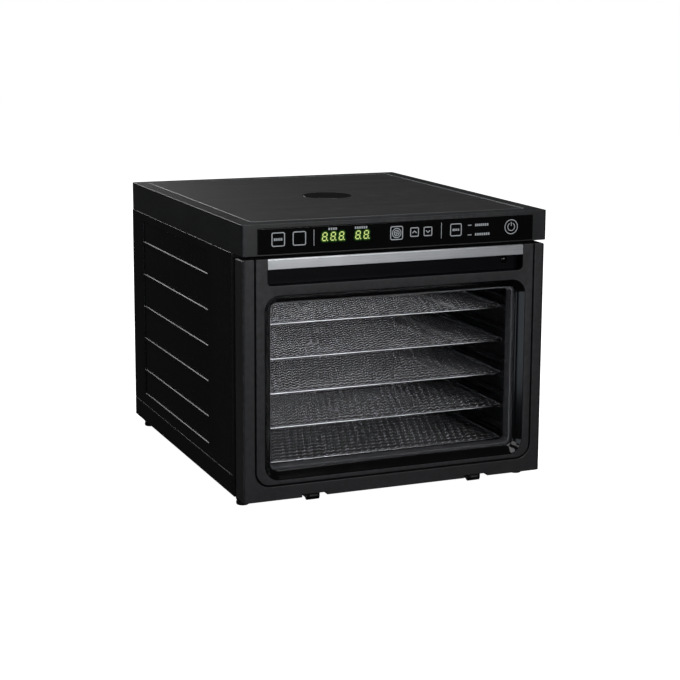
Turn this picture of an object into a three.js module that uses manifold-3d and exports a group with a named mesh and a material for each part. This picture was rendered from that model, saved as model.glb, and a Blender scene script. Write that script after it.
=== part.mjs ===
// A cabinet food dehydrator with a drop-down glass door and six sliding trays.
// Units are millimetres. +Z is up, the door faces -Y, and the origin is on the table, under the
// middle of the object. Depths called "back" are measured from the door's front face.

import * as THREE from 'three';
import { mergeVertices } from 'three/addons/utils/BufferGeometryUtils.js';
import Module from 'manifold-3d';

const wasm = await Module();
wasm.setup();

// ---------------------------------------------------------------- driving dimensions

const GAP = 0.3; // left between pieces that rest on each other
const WALL = 3;

const WIDTH = 350;
const CASING_DEPTH = 408;
const REAR_COVER_DEPTH = 22;
const FRONT = -(CASING_DEPTH + REAR_COVER_DEPTH) / 2;

const FOOT_HEIGHT = 11;
const DOOR_HEIGHT = 255.5;
const DOOR_TO_HOUSING = 3.5;
const HOUSING_HEIGHT = 32.7;
const DOOR_TOP = FOOT_HEIGHT + DOOR_HEIGHT;
const HOUSING_BOTTOM = DOOR_TOP + DOOR_TO_HOUSING;
const HOUSING_TOP = HOUSING_BOTTOM + HOUSING_HEIGHT;
const BASE_TOP = 33;

const DOOR_WIDTH = 348;
const DOOR_THICKNESS = 25;
const BEZEL_THICKNESS = 12;
const GROOVE = 2;
const BAND_WIDTH = 12.3;
const BAND_BOTTOM = 15;
const WINDOW = { halfWidth: 142.5, low: 41, high: 220, radius: 8 };
const WINDOW_BEVEL = { depth: 7, width: 8.5 };
const GLASS = { margin: 3.5, thickness: 4, radius: 9 };
const DOOR_CORNERS = { lower: 4, upper: 3, bezel: 17 };
const SIGHT = { inset: 2.5, radius: 6 };
const GASKET = { middle: 165, low: 22, high: 262, halfWidth: 2.5, seat: 2 };
const HANDLE = {
  halfWidth: 147,
  mouthLow: 238.2,
  mouthRadius: 5,
  skin: 2,
  wall: 1.8,
  cupHigh: 255.2,
  cupDepth: 15.2,
  stripLow: 255.5,
  stripThickness: 3,
  stripChamfer: 1.3,
};
// Sizes are half widths, half heights and, for the plate and its seat, thicknesses.
const CATCH = {
  across: 120,
  dropFromMiddle: 3.7,
  plate: [10, 2.7, 1],
  seat: [10.3, 3, 1.5],
  magnet: [9.7, 2.7],
  magnetDepth: 5,
};

const HINGE = {
  spread: 95,
  back: 8,
  height: 9.6,
  knuckleRadius: 4.2,
  pinRadius: 2,
  knuckleWidth: 9.4,
  earWidth: 2,
  armEnd: 62,
  flangeStart: 38,
  flangeHalfWidth: 14,
  flangeThickness: 2,
};
const NOTCH = { width: 28, skin: 2.5, frontHeight: 3, ceiling: 17.5 };

const FRAME = { back: 28.5, thickness: 5.5, halfOpening: 160, low: 27, high: 250, radius: 6 };
const CHAMBER = { back: 363, floor: 24.5, roof: 262, sheet: 2, wallInner: 160 };
const CASING_START = FRAME.back + FRAME.thickness + GAP;

const TRAY = { count: 6, lowest: 37.4, pitch: 37.7, halfWidth: 151, back: 45, depth: 310, thickness: 2.6 };
const TRAY_GRID = { columns: 8, rows: 2, rim: 4, bar: 2.4, radius: 10 };
const LEDGE = { width: 14, thickness: 3 };
const GUIDE_RIB = { width: 10, thickness: 2, above: 11 };

const FAN = {
  height: 150,
  back: 372,
  length: 16,
  hubRadius: 14,
  bladeRadius: 72,
  bladeWidth: 36,
  bladeThickness: 1.6,
  blades: 7,
  pitchAngle: 0.45,
};
const MOTOR = { radius: 30, back: 394, length: 30, capRadius: 22, capLength: 6, clearance: 4 };
const MOTOR_BRACKET = { arms: 3, armWidth: 14, armLength: 30, armStart: 35, thickness: 2, collar: 8 };
const SHAFT_RADIUS = 3;
const SHROUD = { inner: 78, outer: 82, end: 391 };
const HEATER = { radius: 92, tube: 3.2, back: 380 };
const PROBE = { x: -120, z: 232, radius: 3.5, length: 16, flangeRadius: 6, flangeThickness: 3 };
const CUTOUT = { x: 112, z: 215, radius: 8, start: 392, tabHalfHeight: 2, tabLength: 4 };
const GRILLE = { thickness: 2, slots: 9, pitch: 14, halfWidth: 55, halfHeight: 2.5 };
const GRILLE_SIDE = { x: 130, halfWidth: 14, halfHeight: 3 };

const FASCIA = { halfWidth: 157.8, low: 271.5, high: 297.7 };
const TOP_PLATE = { halfWidth: 158, front: 20, rear: 392.6 };
const BADGE_RADIUS = 28;
const HOUSING_CORNER = 3;
const DISPLAY = { halfHeight: 7, depth: 4.8, aboveMiddle: 1 };
const TEMPERATURE_DISPLAY = { x: -74.8, halfWidth: 15 };
const TIMER_DISPLAY = { x: -42.3, halfWidth: 10.5 };
const CONTROL_BOARD = { halfWidth: 150, back: 8.3, thickness: 1.6, above: 3, below: 6 };
const POWER_BOARD = { halfWidth: 60, front: 240, rear: 340, above: 5, thickness: 1.6 };
const PANEL_RECESS = { front: 113.5, rear: 363, low: 47.7, high: 260, depth: 1.2 };
const PANEL_RIDGES = { count: 5, lowest: 75.9, pitch: 39.4, height: 4 };
const REAR_COVER = { halfWidth: 105, low: 60, high: 240, wall: 2.5, slots: 9, slotHeight: 4, slotPitch: 14 };
const COVER_CORNER = 12;
const COVER_SLOT_HALF_WIDTH = 80;
const COVER_SCREW = {
  across: 95,
  low: 70,
  high: 230,
  headRadius: 3.2,
  headHeight: 2,
  sunk: 2.5,
  bossRadius: 6,
  shankRadius: 1.5,
  shankLength: 12,
};
const INLET = {
  x: 140,
  height: 62,
  halfWidth: 13.8,
  halfHeight: 9.8,
  flange: 3,
  depth: 20,
  wall: 1.8,
  proud: 2.5,
};
const INLET_PINS = { places: [[-7, -1.5], [0, 2.5], [7, -1.5]], halfWidth: 1, halfHeight: 2 };
const FOOT = { across: 163, front: 36, rear: 385, treadRadius: 6, bodyRadius: 7, topRadius: 7.5, taper: 1.5 };

const back = (distance) => FRONT + distance;

// ---------------------------------------------------------------- finishes

function finish(colour, roughness, metalness) {
  return new THREE.MeshStandardMaterial({ color: colour, roughness, metalness });
}

const FINISHES = {
  grainedPlastic: finish(0x1c1d20, 0.62, 0),
  satinPlastic: finish(0x15161a, 0.38, 0),
  glossPlastic: finish(0x050506, 0.08, 0),
  texturedPlate: finish(0x26272a, 0.5, 0),
  plainPlastic: finish(0x1a1a1b, 0.6, 0),
  brushedAluminium: finish(0xb9bcc0, 0.32, 1),
  stainless: finish(0xa9abae, 0.25, 1),
  zincSteel: finish(0x8b8d90, 0.4, 1),
  heaterSteel: finish(0x5a5552, 0.5, 1),
  glass: finish(0x0b0d10, 0.03, 0),
  rubber: finish(0x101010, 0.85, 0),
  circuitBoard: finish(0x14512c, 0.5, 0),
  displayGreen: finish(0xc5e64a, 0.4, 0),
  magnet: finish(0x3a3b3e, 0.35, 1),
};

// ---------------------------------------------------------------- solids

function solidOf(geometry) {
  const bare = geometry.clone();
  bare.deleteAttribute('normal');
  bare.deleteAttribute('uv');
  const merged = mergeVertices(bare, 1e-4);
  const vertProperties = new Float32Array(merged.attributes.position.array);
  const triVerts = new Uint32Array(merged.index.array);
  return new wasm.Manifold(new wasm.Mesh({ numProp: 3, vertProperties, triVerts }));
}

function geometryOf(solid) {
  const mesh = solid.getMesh();
  const geometry = new THREE.BufferGeometry();
  geometry.setAttribute('position', new THREE.BufferAttribute(new Float32Array(mesh.vertProperties), 3));
  geometry.setIndex(new THREE.BufferAttribute(new Uint32Array(mesh.triVerts), 1));
  return geometry;
}

function block([x0, x1], [y0, y1], [z0, z1]) {
  const geometry = new THREE.BoxGeometry(x1 - x0, y1 - y0, z1 - z0);
  geometry.translate((x0 + x1) / 2, (y0 + y1) / 2, (z0 + z1) / 2);
  return solidOf(geometry);
}

// A shape drawn in X and Z, extruded along Y between two depths.
function frontShape(shape, y0, y1, curveSegments = 4) {
  const settings = { depth: y1 - y0, bevelEnabled: false, curveSegments };
  const geometry = new THREE.ExtrudeGeometry(shape, settings);
  geometry.rotateX(Math.PI / 2);
  geometry.translate(0, y1, 0);
  return solidOf(geometry);
}

// A shape drawn in X and Y, extruded upwards between two heights.
function planShape(shape, z0, z1, curveSegments = 4) {
  const settings = { depth: z1 - z0, bevelEnabled: false, curveSegments };
  const geometry = new THREE.ExtrudeGeometry(shape, settings);
  geometry.translate(0, 0, z0);
  return solidOf(geometry);
}

function cylinderAlongX(radius, [x0, x1], y, z, sides = 16) {
  const geometry = new THREE.CylinderGeometry(radius, radius, x1 - x0, sides);
  geometry.rotateZ(Math.PI / 2);
  geometry.translate((x0 + x1) / 2, y, z);
  return solidOf(geometry);
}

function cylinderAlongY(radius, x, [y0, y1], z, sides = 16) {
  const geometry = new THREE.CylinderGeometry(radius, radius, y1 - y0, sides);
  geometry.translate(x, (y0 + y1) / 2, z);
  return solidOf(geometry);
}

function cylinderUp(radius, x, y, [z0, z1], sides = 16) {
  const geometry = new THREE.CylinderGeometry(radius, radius, z1 - z0, sides);
  geometry.rotateX(Math.PI / 2);
  geometry.translate(x, y, (z0 + z1) / 2);
  return solidOf(geometry);
}

// A rectangle with its own radius at each corner, from the low left corner round to the top left.
function rectangle([u0, u1], [v0, v1], radii) {
  const each = Array.isArray(radii) ? radii : [radii, radii, radii, radii];
  const [lowLeft, lowRight, highRight, highLeft] = each;
  const corners = [
    [u0 + lowLeft, v0 + lowLeft, Math.PI, lowLeft],
    [u1 - lowRight, v0 + lowRight, 1.5 * Math.PI, lowRight],
    [u1 - highRight, v1 - highRight, 0, highRight],
    [u0 + highLeft, v1 - highLeft, 0.5 * Math.PI, highLeft],
  ];
  const shape = new THREE.Shape();
  corners.forEach(([u, v, start, radius], index) => {
    if (radius === 0 && index === 0) shape.moveTo(u, v);
    if (radius === 0 && index > 0) shape.lineTo(u, v);
    if (radius > 0) shape.absarc(u, v, radius, start, start + Math.PI / 2, false);
  });
  shape.closePath();
  return shape;
}

function frontRing(outer, inner, y0, y1, outerRadii, innerRadii) {
  const hole = frontShape(rectangle(inner[0], inner[1], innerRadii), y0 - 1, y1 + 1);
  return frontShape(rectangle(outer[0], outer[1], outerRadii), y0, y1).subtract(hole);
}

const model = new THREE.Group();
const bothSides = [['left', -1], ['right', 1]];

function addPiece(name, solid, material) {
  const mesh = new THREE.Mesh(geometryOf(solid), material);
  mesh.name = name;
  model.add(mesh);
}

// ---------------------------------------------------------------- control housing

function topHousing() {
  const half = WIDTH / 2;
  const plan = rectangle([-half, half], [back(0), back(CASING_DEPTH)], HOUSING_CORNER);
  const shell = planShape(plan, HOUSING_BOTTOM, HOUSING_TOP, 2);
  const inside = block([-half + WALL, half - WALL], [back(WALL), back(CASING_DEPTH - WALL)],
    [HOUSING_BOTTOM - 1, HOUSING_TOP - WALL]);
  const fasciaOpening = block([-FASCIA.halfWidth - GAP, FASCIA.halfWidth + GAP],
    [back(-1), back(WALL + 1)], [FASCIA.low - GAP, FASCIA.high + GAP]);
  const plateRecess = block([-TOP_PLATE.halfWidth - GAP, TOP_PLATE.halfWidth + GAP],
    [back(TOP_PLATE.front - GAP), back(TOP_PLATE.rear + GAP)],
    [HOUSING_TOP - WALL / 2, HOUSING_TOP + 1]);
  return shell.subtract(inside).subtract(fasciaOpening).subtract(plateRecess);
}

function topPlate() {
  const plate = block([-TOP_PLATE.halfWidth, TOP_PLATE.halfWidth],
    [back(TOP_PLATE.front), back(TOP_PLATE.rear)], [HOUSING_TOP - WALL / 2 + GAP, HOUSING_TOP - GAP]);
  const hole = cylinderUp(BADGE_RADIUS + GAP, 0, back(CASING_DEPTH / 2),
    [HOUSING_TOP - WALL, HOUSING_TOP], 40);
  return plate.subtract(hole);
}

function topBadge() {
  return cylinderUp(BADGE_RADIUS, 0, back(CASING_DEPTH / 2),
    [HOUSING_TOP - WALL / 2 + GAP, HOUSING_TOP], 40);
}

function housingBase() {
  const inside = WIDTH / 2 - WALL - GAP;
  return block([-inside, inside], [back(WALL + GAP), back(CASING_DEPTH - WALL - GAP)],
    [HOUSING_BOTTOM, HOUSING_BOTTOM + 2]);
}

function controlFascia() {
  return block([-FASCIA.halfWidth, FASCIA.halfWidth], [back(0.15), back(WALL - 0.1)],
    [FASCIA.low, FASCIA.high]);
}

function displayModule({ x, halfWidth }) {
  const { halfHeight, depth, aboveMiddle } = DISPLAY;
  const middle = (FASCIA.low + FASCIA.high) / 2 + aboveMiddle;
  const start = WALL + 0.2;
  return block([x - halfWidth, x + halfWidth], [back(start), back(start + depth)],
    [middle - halfHeight, middle + halfHeight]);
}

function controlBoard() {
  const { halfWidth, back: start, thickness, above, below } = CONTROL_BOARD;
  return block([-halfWidth, halfWidth], [back(start), back(start + thickness)],
    [HOUSING_BOTTOM + above, HOUSING_TOP - below]);
}

function powerBoard() {
  const { halfWidth, front, rear, above, thickness } = POWER_BOARD;
  const low = HOUSING_BOTTOM + above;
  const top = low + thickness;
  const board = block([-halfWidth, halfWidth], [back(front), back(rear)], [low, top]);
  const transformer = block([-45, -13], [back(255), back(287)], [top - 0.5, top + 18]);
  const relay = block([10, 30], [back(255), back(270)], [top - 0.5, top + 14]);
  const capacitor = cylinderUp(6, 45, back(310), [top - 0.5, top + 16], 12);
  const connector = block([-40, -5], [back(318), back(328)], [top - 0.5, top + 9]);
  return board.add(transformer).add(relay).add(capacitor).add(connector);
}

function buildHousing() {
  addPiece('top_housing', topHousing(), FINISHES.satinPlastic);
  addPiece('housing_base', housingBase(), FINISHES.plainPlastic);
  addPiece('top_plate', topPlate(), FINISHES.texturedPlate);
  addPiece('top_badge', topBadge(), FINISHES.glossPlastic);
  addPiece('control_fascia', controlFascia(), FINISHES.glossPlastic);
  addPiece('display_temperature', displayModule(TEMPERATURE_DISPLAY), FINISHES.displayGreen);
  addPiece('display_timer', displayModule(TIMER_DISPLAY), FINISHES.displayGreen);
  addPiece('control_board', controlBoard(), FINISHES.circuitBoard);
  addPiece('power_board', powerBoard(), FINISHES.circuitBoard);
}

// ---------------------------------------------------------------- casing

function sidePanel(side) {
  const outer = side * WIDTH / 2;
  const inner = side * (WIDTH / 2 - WALL);
  const thickness = [Math.min(outer, inner), Math.max(outer, inner)];
  const sheet = block(thickness, [back(CASING_START), back(CASING_DEPTH)],
    [BASE_TOP + GAP, HOUSING_BOTTOM - GAP]);
  const floorOfRecess = side * (WIDTH / 2 - PANEL_RECESS.depth);
  const outside = side * (WIDTH / 2 + 1);
  const recess = block([Math.min(floorOfRecess, outside), Math.max(floorOfRecess, outside)],
    [back(PANEL_RECESS.front), back(PANEL_RECESS.rear)], [PANEL_RECESS.low, PANEL_RECESS.high]);
  let panel = sheet.subtract(recess);
  for (let index = 0; index < PANEL_RIDGES.count; index += 1) {
    const middle = PANEL_RIDGES.lowest + index * PANEL_RIDGES.pitch;
    panel = panel.add(block(thickness, [back(PANEL_RECESS.front - 1), back(PANEL_RECESS.rear + 1)],
      [middle - PANEL_RIDGES.height / 2, middle + PANEL_RIDGES.height / 2]));
  }
  return panel;
}

// The front frame closes the pan's open front.
function basePan() {
  const half = WIDTH / 2;
  const tray = block([-half, half], [back(CASING_START), back(CASING_DEPTH)], [FOOT_HEIGHT, BASE_TOP]);
  const inside = block([-half + WALL, half - WALL], [back(CASING_START - 1), back(CASING_DEPTH - WALL)],
    [FOOT_HEIGHT + WALL, BASE_TOP + 1]);
  return tray.subtract(inside);
}

function rearPanel() {
  const half = WIDTH / 2 - WALL - GAP;
  const sheet = block([-half, half], [back(CASING_DEPTH - WALL), back(CASING_DEPTH)],
    [BASE_TOP + GAP, HOUSING_BOTTOM - GAP]);
  const motorHole = cylinderAlongY(MOTOR.radius + MOTOR.clearance, 0,
    [back(CASING_DEPTH - WALL - 1), back(CASING_DEPTH + 1)], FAN.height, 24);
  const inletHole = block([INLET.x - INLET.halfWidth - GAP, INLET.x + INLET.halfWidth + GAP],
    [back(CASING_DEPTH - WALL - 1), back(CASING_DEPTH + 1)],
    [INLET.height - INLET.halfHeight - GAP, INLET.height + INLET.halfHeight + GAP]);
  return sheet.subtract(motorHole).subtract(inletHole);
}

function coverCorners() {
  const heights = [COVER_SCREW.low, COVER_SCREW.high];
  return heights.flatMap((height) => [[-COVER_SCREW.across, height], [COVER_SCREW.across, height]]);
}

function rearCover() {
  const start = CASING_DEPTH + GAP;
  const end = CASING_DEPTH + REAR_COVER_DEPTH;
  const { halfWidth, low, high, wall } = REAR_COVER;
  const outline = rectangle([-halfWidth, halfWidth], [low, high], COVER_CORNER);
  const hollow = rectangle([-halfWidth + wall, halfWidth - wall], [low + wall, high - wall],
    COVER_CORNER - wall);
  let cover = frontShape(outline, back(start), back(end), 3)
    .subtract(frontShape(hollow, back(start - 1), back(end - wall), 3));
  const middle = (low + high) / 2;
  for (let index = 0; index < REAR_COVER.slots; index += 1) {
    const height = middle + (index - (REAR_COVER.slots - 1) / 2) * REAR_COVER.slotPitch;
    cover = cover.subtract(block([-COVER_SLOT_HALF_WIDTH, COVER_SLOT_HALF_WIDTH],
      [back(end - wall - 1), back(end + 1)],
      [height - REAR_COVER.slotHeight / 2, height + REAR_COVER.slotHeight / 2]));
  }
  const { headRadius, shankRadius, bossRadius, sunk } = COVER_SCREW;
  coverCorners().forEach(([x, height]) => {
    const boss = cylinderAlongY(bossRadius, x, [back(start), back(end - 1)], height, 12);
    const counterbore = cylinderAlongY(headRadius + 0.5, x, [back(end - sunk), back(end + 1)], height, 12);
    const bore = cylinderAlongY(shankRadius + GAP, x, [back(start - 1), back(end)], height, 10);
    cover = cover.add(boss).subtract(counterbore).subtract(bore);
  });
  return cover;
}

function coverScrew([x, height]) {
  const headEnd = CASING_DEPTH + REAR_COVER_DEPTH - 0.2;
  const headStart = headEnd - COVER_SCREW.headHeight;
  const head = cylinderAlongY(COVER_SCREW.headRadius, x, [back(headStart), back(headEnd)], height, 12);
  const shank = cylinderAlongY(COVER_SCREW.shankRadius, x,
    [back(headStart - COVER_SCREW.shankLength), back(headStart + 1)], height, 8);
  return head.add(shank);
}

function frontFrame() {
  const half = WIDTH / 2;
  let frame = frontRing([[-half, half], [FOOT_HEIGHT, HOUSING_BOTTOM - GAP]],
    [[-FRAME.halfOpening, FRAME.halfOpening], [FRAME.low, FRAME.high]],
    back(FRAME.back), back(FRAME.back + FRAME.thickness), 0, FRAME.radius);
  const [halfWidth, halfHeight, depth] = CATCH.seat;
  bothSides.forEach(([, side]) => {
    const [x, z] = catchPlaceOf(side);
    frame = frame.subtract(block([x - halfWidth, x + halfWidth],
      [back(FRAME.back - 1), back(FRAME.back + depth)], [z - halfHeight, z + halfHeight]));
  });
  return frame;
}

function catchPlaceOf(side) {
  return [side * CATCH.across, (FRAME.high + DOOR_TOP) / 2 - CATCH.dropFromMiddle];
}

function catchPlate(side) {
  const [x, z] = catchPlaceOf(side);
  const [halfWidth, halfHeight, thickness] = CATCH.plate;
  const start = FRAME.back + 0.2;
  return block([x - halfWidth, x + halfWidth], [back(start), back(start + thickness)],
    [z - halfHeight, z + halfHeight]);
}

function foot(x, y) {
  const height = FOOT_HEIGHT - GAP;
  const { treadRadius, bodyRadius, topRadius, taper } = FOOT;
  const profile = [[0, 0], [treadRadius, 0], [bodyRadius, taper], [topRadius, height], [0, height]];
  const geometry = new THREE.LatheGeometry(profile.map(([r, z]) => new THREE.Vector2(r, z)), 16);
  geometry.rotateX(Math.PI / 2);
  geometry.translate(x, y, 0);
  return solidOf(geometry);
}

function powerInlet() {
  const { x, height, halfWidth, halfHeight, flange, depth, wall, proud } = INLET;
  const face = CASING_DEPTH + GAP + proud;
  const flangePlate = block([x - halfWidth - flange, x + halfWidth + flange],
    [back(CASING_DEPTH + GAP), back(face)],
    [height - halfHeight - flange, height + halfHeight + flange]);
  const body = block([x - halfWidth, x + halfWidth], [back(CASING_DEPTH - depth), back(CASING_DEPTH + 1)],
    [height - halfHeight, height + halfHeight]);
  const socket = block([x - halfWidth + wall, x + halfWidth - wall],
    [back(CASING_DEPTH - depth + 4), back(face + 1)],
    [height - halfHeight + wall, height + halfHeight - wall]);
  let inlet = flangePlate.add(body).subtract(socket);
  const pinDepth = [back(CASING_DEPTH - depth + 3), back(CASING_DEPTH - 3)];
  INLET_PINS.places.forEach(([across, up]) => {
    inlet = inlet.add(block([x + across - INLET_PINS.halfWidth, x + across + INLET_PINS.halfWidth], pinDepth,
      [height + up - INLET_PINS.halfHeight, height + up + INLET_PINS.halfHeight]));
  });
  return inlet;
}

function buildCasing() {
  bothSides.forEach(([name, side]) => {
    addPiece(`${name}_side_panel`, sidePanel(side), FINISHES.satinPlastic);
    addPiece(`catch_plate_${name}`, catchPlate(side), FINISHES.zincSteel);
    addPiece(`foot_front_${name}`, foot(side * FOOT.across, back(FOOT.front)), FINISHES.rubber);
    addPiece(`foot_rear_${name}`, foot(side * FOOT.across, back(FOOT.rear)), FINISHES.rubber);
  });
  addPiece('base_pan', basePan(), FINISHES.satinPlastic);
  addPiece('rear_panel', rearPanel(), FINISHES.plainPlastic);
  addPiece('rear_cover', rearCover(), FINISHES.plainPlastic);
  addPiece('front_frame', frontFrame(), FINISHES.satinPlastic);
  addPiece('power_inlet', powerInlet(), FINISHES.plainPlastic);
  coverCorners().forEach((place, index) => {
    addPiece(`cover_screw_${index + 1}`, coverScrew(place), FINISHES.zincSteel);
  });
}

// ---------------------------------------------------------------- drying chamber

function trayBottom(index) {
  return TRAY.lowest + index * TRAY.pitch;
}

function railWall(side) {
  const across = (near, far) => [Math.min(side * near, side * far), Math.max(side * near, side * far)];
  const depth = [back(CASING_START), back(CHAMBER.back - GAP)];
  const { wallInner, floor, roof, sheet } = CHAMBER;
  let wall = block(across(wallInner, wallInner + WALL), depth, [floor + sheet + GAP, roof - GAP]);
  for (let index = 0; index < TRAY.count; index += 1) {
    const ledgeTop = trayBottom(index) - GAP;
    const ribLow = trayBottom(index) + GUIDE_RIB.above;
    wall = wall.add(block(across(wallInner - LEDGE.width, wallInner + 1), depth,
      [ledgeTop - LEDGE.thickness, ledgeTop]));
    wall = wall.add(block(across(wallInner - GUIDE_RIB.width, wallInner + 1), depth,
      [ribLow, ribLow + GUIDE_RIB.thickness]));
  }
  return wall;
}

function chamberSheet(low) {
  const half = CHAMBER.wallInner + WALL;
  return block([-half, half], [back(CASING_START), back(CASING_DEPTH - WALL - GAP)],
    [low, low + CHAMBER.sheet]);
}

function rearGrille() {
  const half = CHAMBER.wallInner + WALL;
  const { floor, roof, sheet } = CHAMBER;
  const end = CHAMBER.back + GRILLE.thickness;
  const slotDepth = [back(CHAMBER.back - 1), back(end + 1)];
  let grille = block([-half, half], [back(CHAMBER.back), back(end)], [floor + sheet + GAP, roof - GAP]);
  for (let index = 0; index < GRILLE.slots; index += 1) {
    const middle = FAN.height + (index - (GRILLE.slots - 1) / 2) * GRILLE.pitch;
    grille = grille.subtract(block([-GRILLE.halfWidth, GRILLE.halfWidth], slotDepth,
      [middle - GRILLE.halfHeight, middle + GRILLE.halfHeight]));
  }
  bothSides.forEach(([, side]) => {
    const x = side * GRILLE_SIDE.x;
    for (let index = 0; index < TRAY.count; index += 1) {
      const middle = trayBottom(index) + TRAY.pitch / 2;
      grille = grille.subtract(block([x - GRILLE_SIDE.halfWidth, x + GRILLE_SIDE.halfWidth], slotDepth,
        [middle - GRILLE_SIDE.halfHeight, middle + GRILLE_SIDE.halfHeight]));
    }
  });
  return grille;
}

function ring(innerRadius, outerRadius, y0, y1, segments) {
  const length = y1 - y0;
  const profile = [[innerRadius, 0], [outerRadius, 0], [outerRadius, length], [innerRadius, length],
    [innerRadius, 0]];
  const points = profile.map(([radius, along]) => new THREE.Vector2(radius, along));
  const geometry = new THREE.LatheGeometry(points, segments);
  geometry.translate(0, y0, FAN.height);
  return solidOf(geometry);
}

function fanImpeller() {
  const { back: start, length, hubRadius, bladeRadius, bladeWidth, bladeThickness, blades } = FAN;
  const rooted = 3;
  let impeller = cylinderAlongY(hubRadius, 0, [back(start), back(start + length)], 0, 20);
  for (let index = 0; index < blades; index += 1) {
    const geometry = new THREE.BoxGeometry(bladeWidth, bladeThickness, bladeRadius - hubRadius + rooted);
    geometry.rotateZ(FAN.pitchAngle);
    geometry.translate(0, back(start + length / 2), (bladeRadius + hubRadius - rooted) / 2);
    geometry.rotateY((index * 2 * Math.PI) / blades);
    impeller = impeller.add(solidOf(geometry));
  }
  const bore = cylinderAlongY(SHAFT_RADIUS + GAP, 0, [back(start - 20), back(start + length + 20)], 0, 12);
  return impeller.subtract(bore).translate([0, 0, FAN.height]);
}

function motorShaft() {
  return cylinderAlongY(SHAFT_RADIUS, 0, [back(FAN.back - 2), back(MOTOR.back - GAP)], FAN.height, 12);
}

function fanMotor() {
  const bellEnd = MOTOR.back + MOTOR.length - MOTOR.capLength;
  const bell = cylinderAlongY(MOTOR.radius, 0, [back(MOTOR.back), back(bellEnd)], FAN.height, 24);
  const capEnd = bellEnd + MOTOR.capLength;
  const cap = cylinderAlongY(MOTOR.capRadius, 0, [back(bellEnd - 1), back(capEnd)], FAN.height, 20);
  return bell.add(cap);
}

function motorBracket() {
  const end = CASING_DEPTH - WALL - GAP;
  const { arms, armWidth, armLength, armStart, thickness, collar } = MOTOR_BRACKET;
  let bracket = ring(MOTOR.radius + GAP, MOTOR.radius + collar, back(end - thickness), back(end), 24);
  for (let index = 0; index < arms; index += 1) {
    const geometry = new THREE.BoxGeometry(armWidth, thickness, armLength);
    geometry.translate(0, back(end - thickness / 2), armStart + armLength / 2);
    geometry.rotateY((index * 2 * Math.PI) / arms);
    geometry.translate(0, 0, FAN.height);
    bracket = bracket.add(solidOf(geometry));
  }
  return bracket;
}

function heaterRing() {
  const geometry = new THREE.TorusGeometry(HEATER.radius, HEATER.tube, 6, 28);
  geometry.rotateX(Math.PI / 2);
  geometry.translate(0, back(HEATER.back), FAN.height);
  return solidOf(geometry);
}

function thermostatProbe() {
  const start = CHAMBER.back + GRILLE.thickness + GAP;
  const { x, z, radius, length, flangeRadius, flangeThickness } = PROBE;
  return cylinderAlongY(radius, x, [back(start), back(start + length)], z, 12)
    .add(cylinderAlongY(flangeRadius, x, [back(start), back(start + flangeThickness)], z, 12));
}

function thermalCutout() {
  const { x, z, radius, start, tabHalfHeight, tabLength } = CUTOUT;
  const body = cylinderAlongY(radius, x, [back(start), back(CASING_DEPTH - WALL - GAP)], z, 14);
  const tabs = block([x - radius, x + radius], [back(start + 1 - tabLength), back(start + 1)],
    [z - tabHalfHeight, z + tabHalfHeight]);
  return body.add(tabs);
}

function buildChamber() {
  const shroudStart = back(CHAMBER.back + GRILLE.thickness + GAP);
  bothSides.forEach(([name, side]) => {
    addPiece(`${name}_rail_wall`, railWall(side), FINISHES.plainPlastic);
  });
  addPiece('upper_liner', chamberSheet(CHAMBER.roof), FINISHES.plainPlastic);
  addPiece('lower_liner', chamberSheet(CHAMBER.floor), FINISHES.plainPlastic);
  addPiece('rear_grille', rearGrille(), FINISHES.plainPlastic);
  addPiece('fan_shroud', ring(SHROUD.inner, SHROUD.outer, shroudStart, back(SHROUD.end), 28),
    FINISHES.zincSteel);
  addPiece('fan_impeller', fanImpeller(), FINISHES.plainPlastic);
  addPiece('motor_shaft', motorShaft(), FINISHES.zincSteel);
  addPiece('fan_motor', fanMotor(), FINISHES.zincSteel);
  addPiece('motor_bracket', motorBracket(), FINISHES.zincSteel);
  addPiece('heater_ring', heaterRing(), FINISHES.heaterSteel);
  addPiece('thermostat_probe', thermostatProbe(), FINISHES.stainless);
  addPiece('thermal_cutout', thermalCutout(), FINISHES.plainPlastic);
}

// ---------------------------------------------------------------- door

function hingeNotch(x) {
  const sides = [x - NOTCH.width / 2, x + NOTCH.width / 2];
  const below = FOOT_HEIGHT - 1;
  const pocket = block(sides, [back(NOTCH.skin), back(DOOR_THICKNESS + 1)], [below, NOTCH.ceiling]);
  const mouth = block(sides, [back(-1), back(NOTCH.skin + 1)], [below, FOOT_HEIGHT + NOTCH.frontHeight]);
  return pocket.add(mouth);
}

function gasketRing(clearance, y0, y1) {
  const { middle, low, high, halfWidth } = GASKET;
  const half = halfWidth + clearance;
  return frontRing([[-middle - half, middle + half], [low - half, high + half]],
    [[-middle + half, middle - half], [low + half, high - half]], y0, y1, 6, 3);
}

function bezelOutline(clearance) {
  const half = DOOR_WIDTH / 2 - BAND_WIDTH - clearance;
  const low = FOOT_HEIGHT + BAND_BOTTOM + clearance;
  const radius = DOOR_CORNERS.bezel - clearance;
  return { half, low, radius };
}

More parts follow.
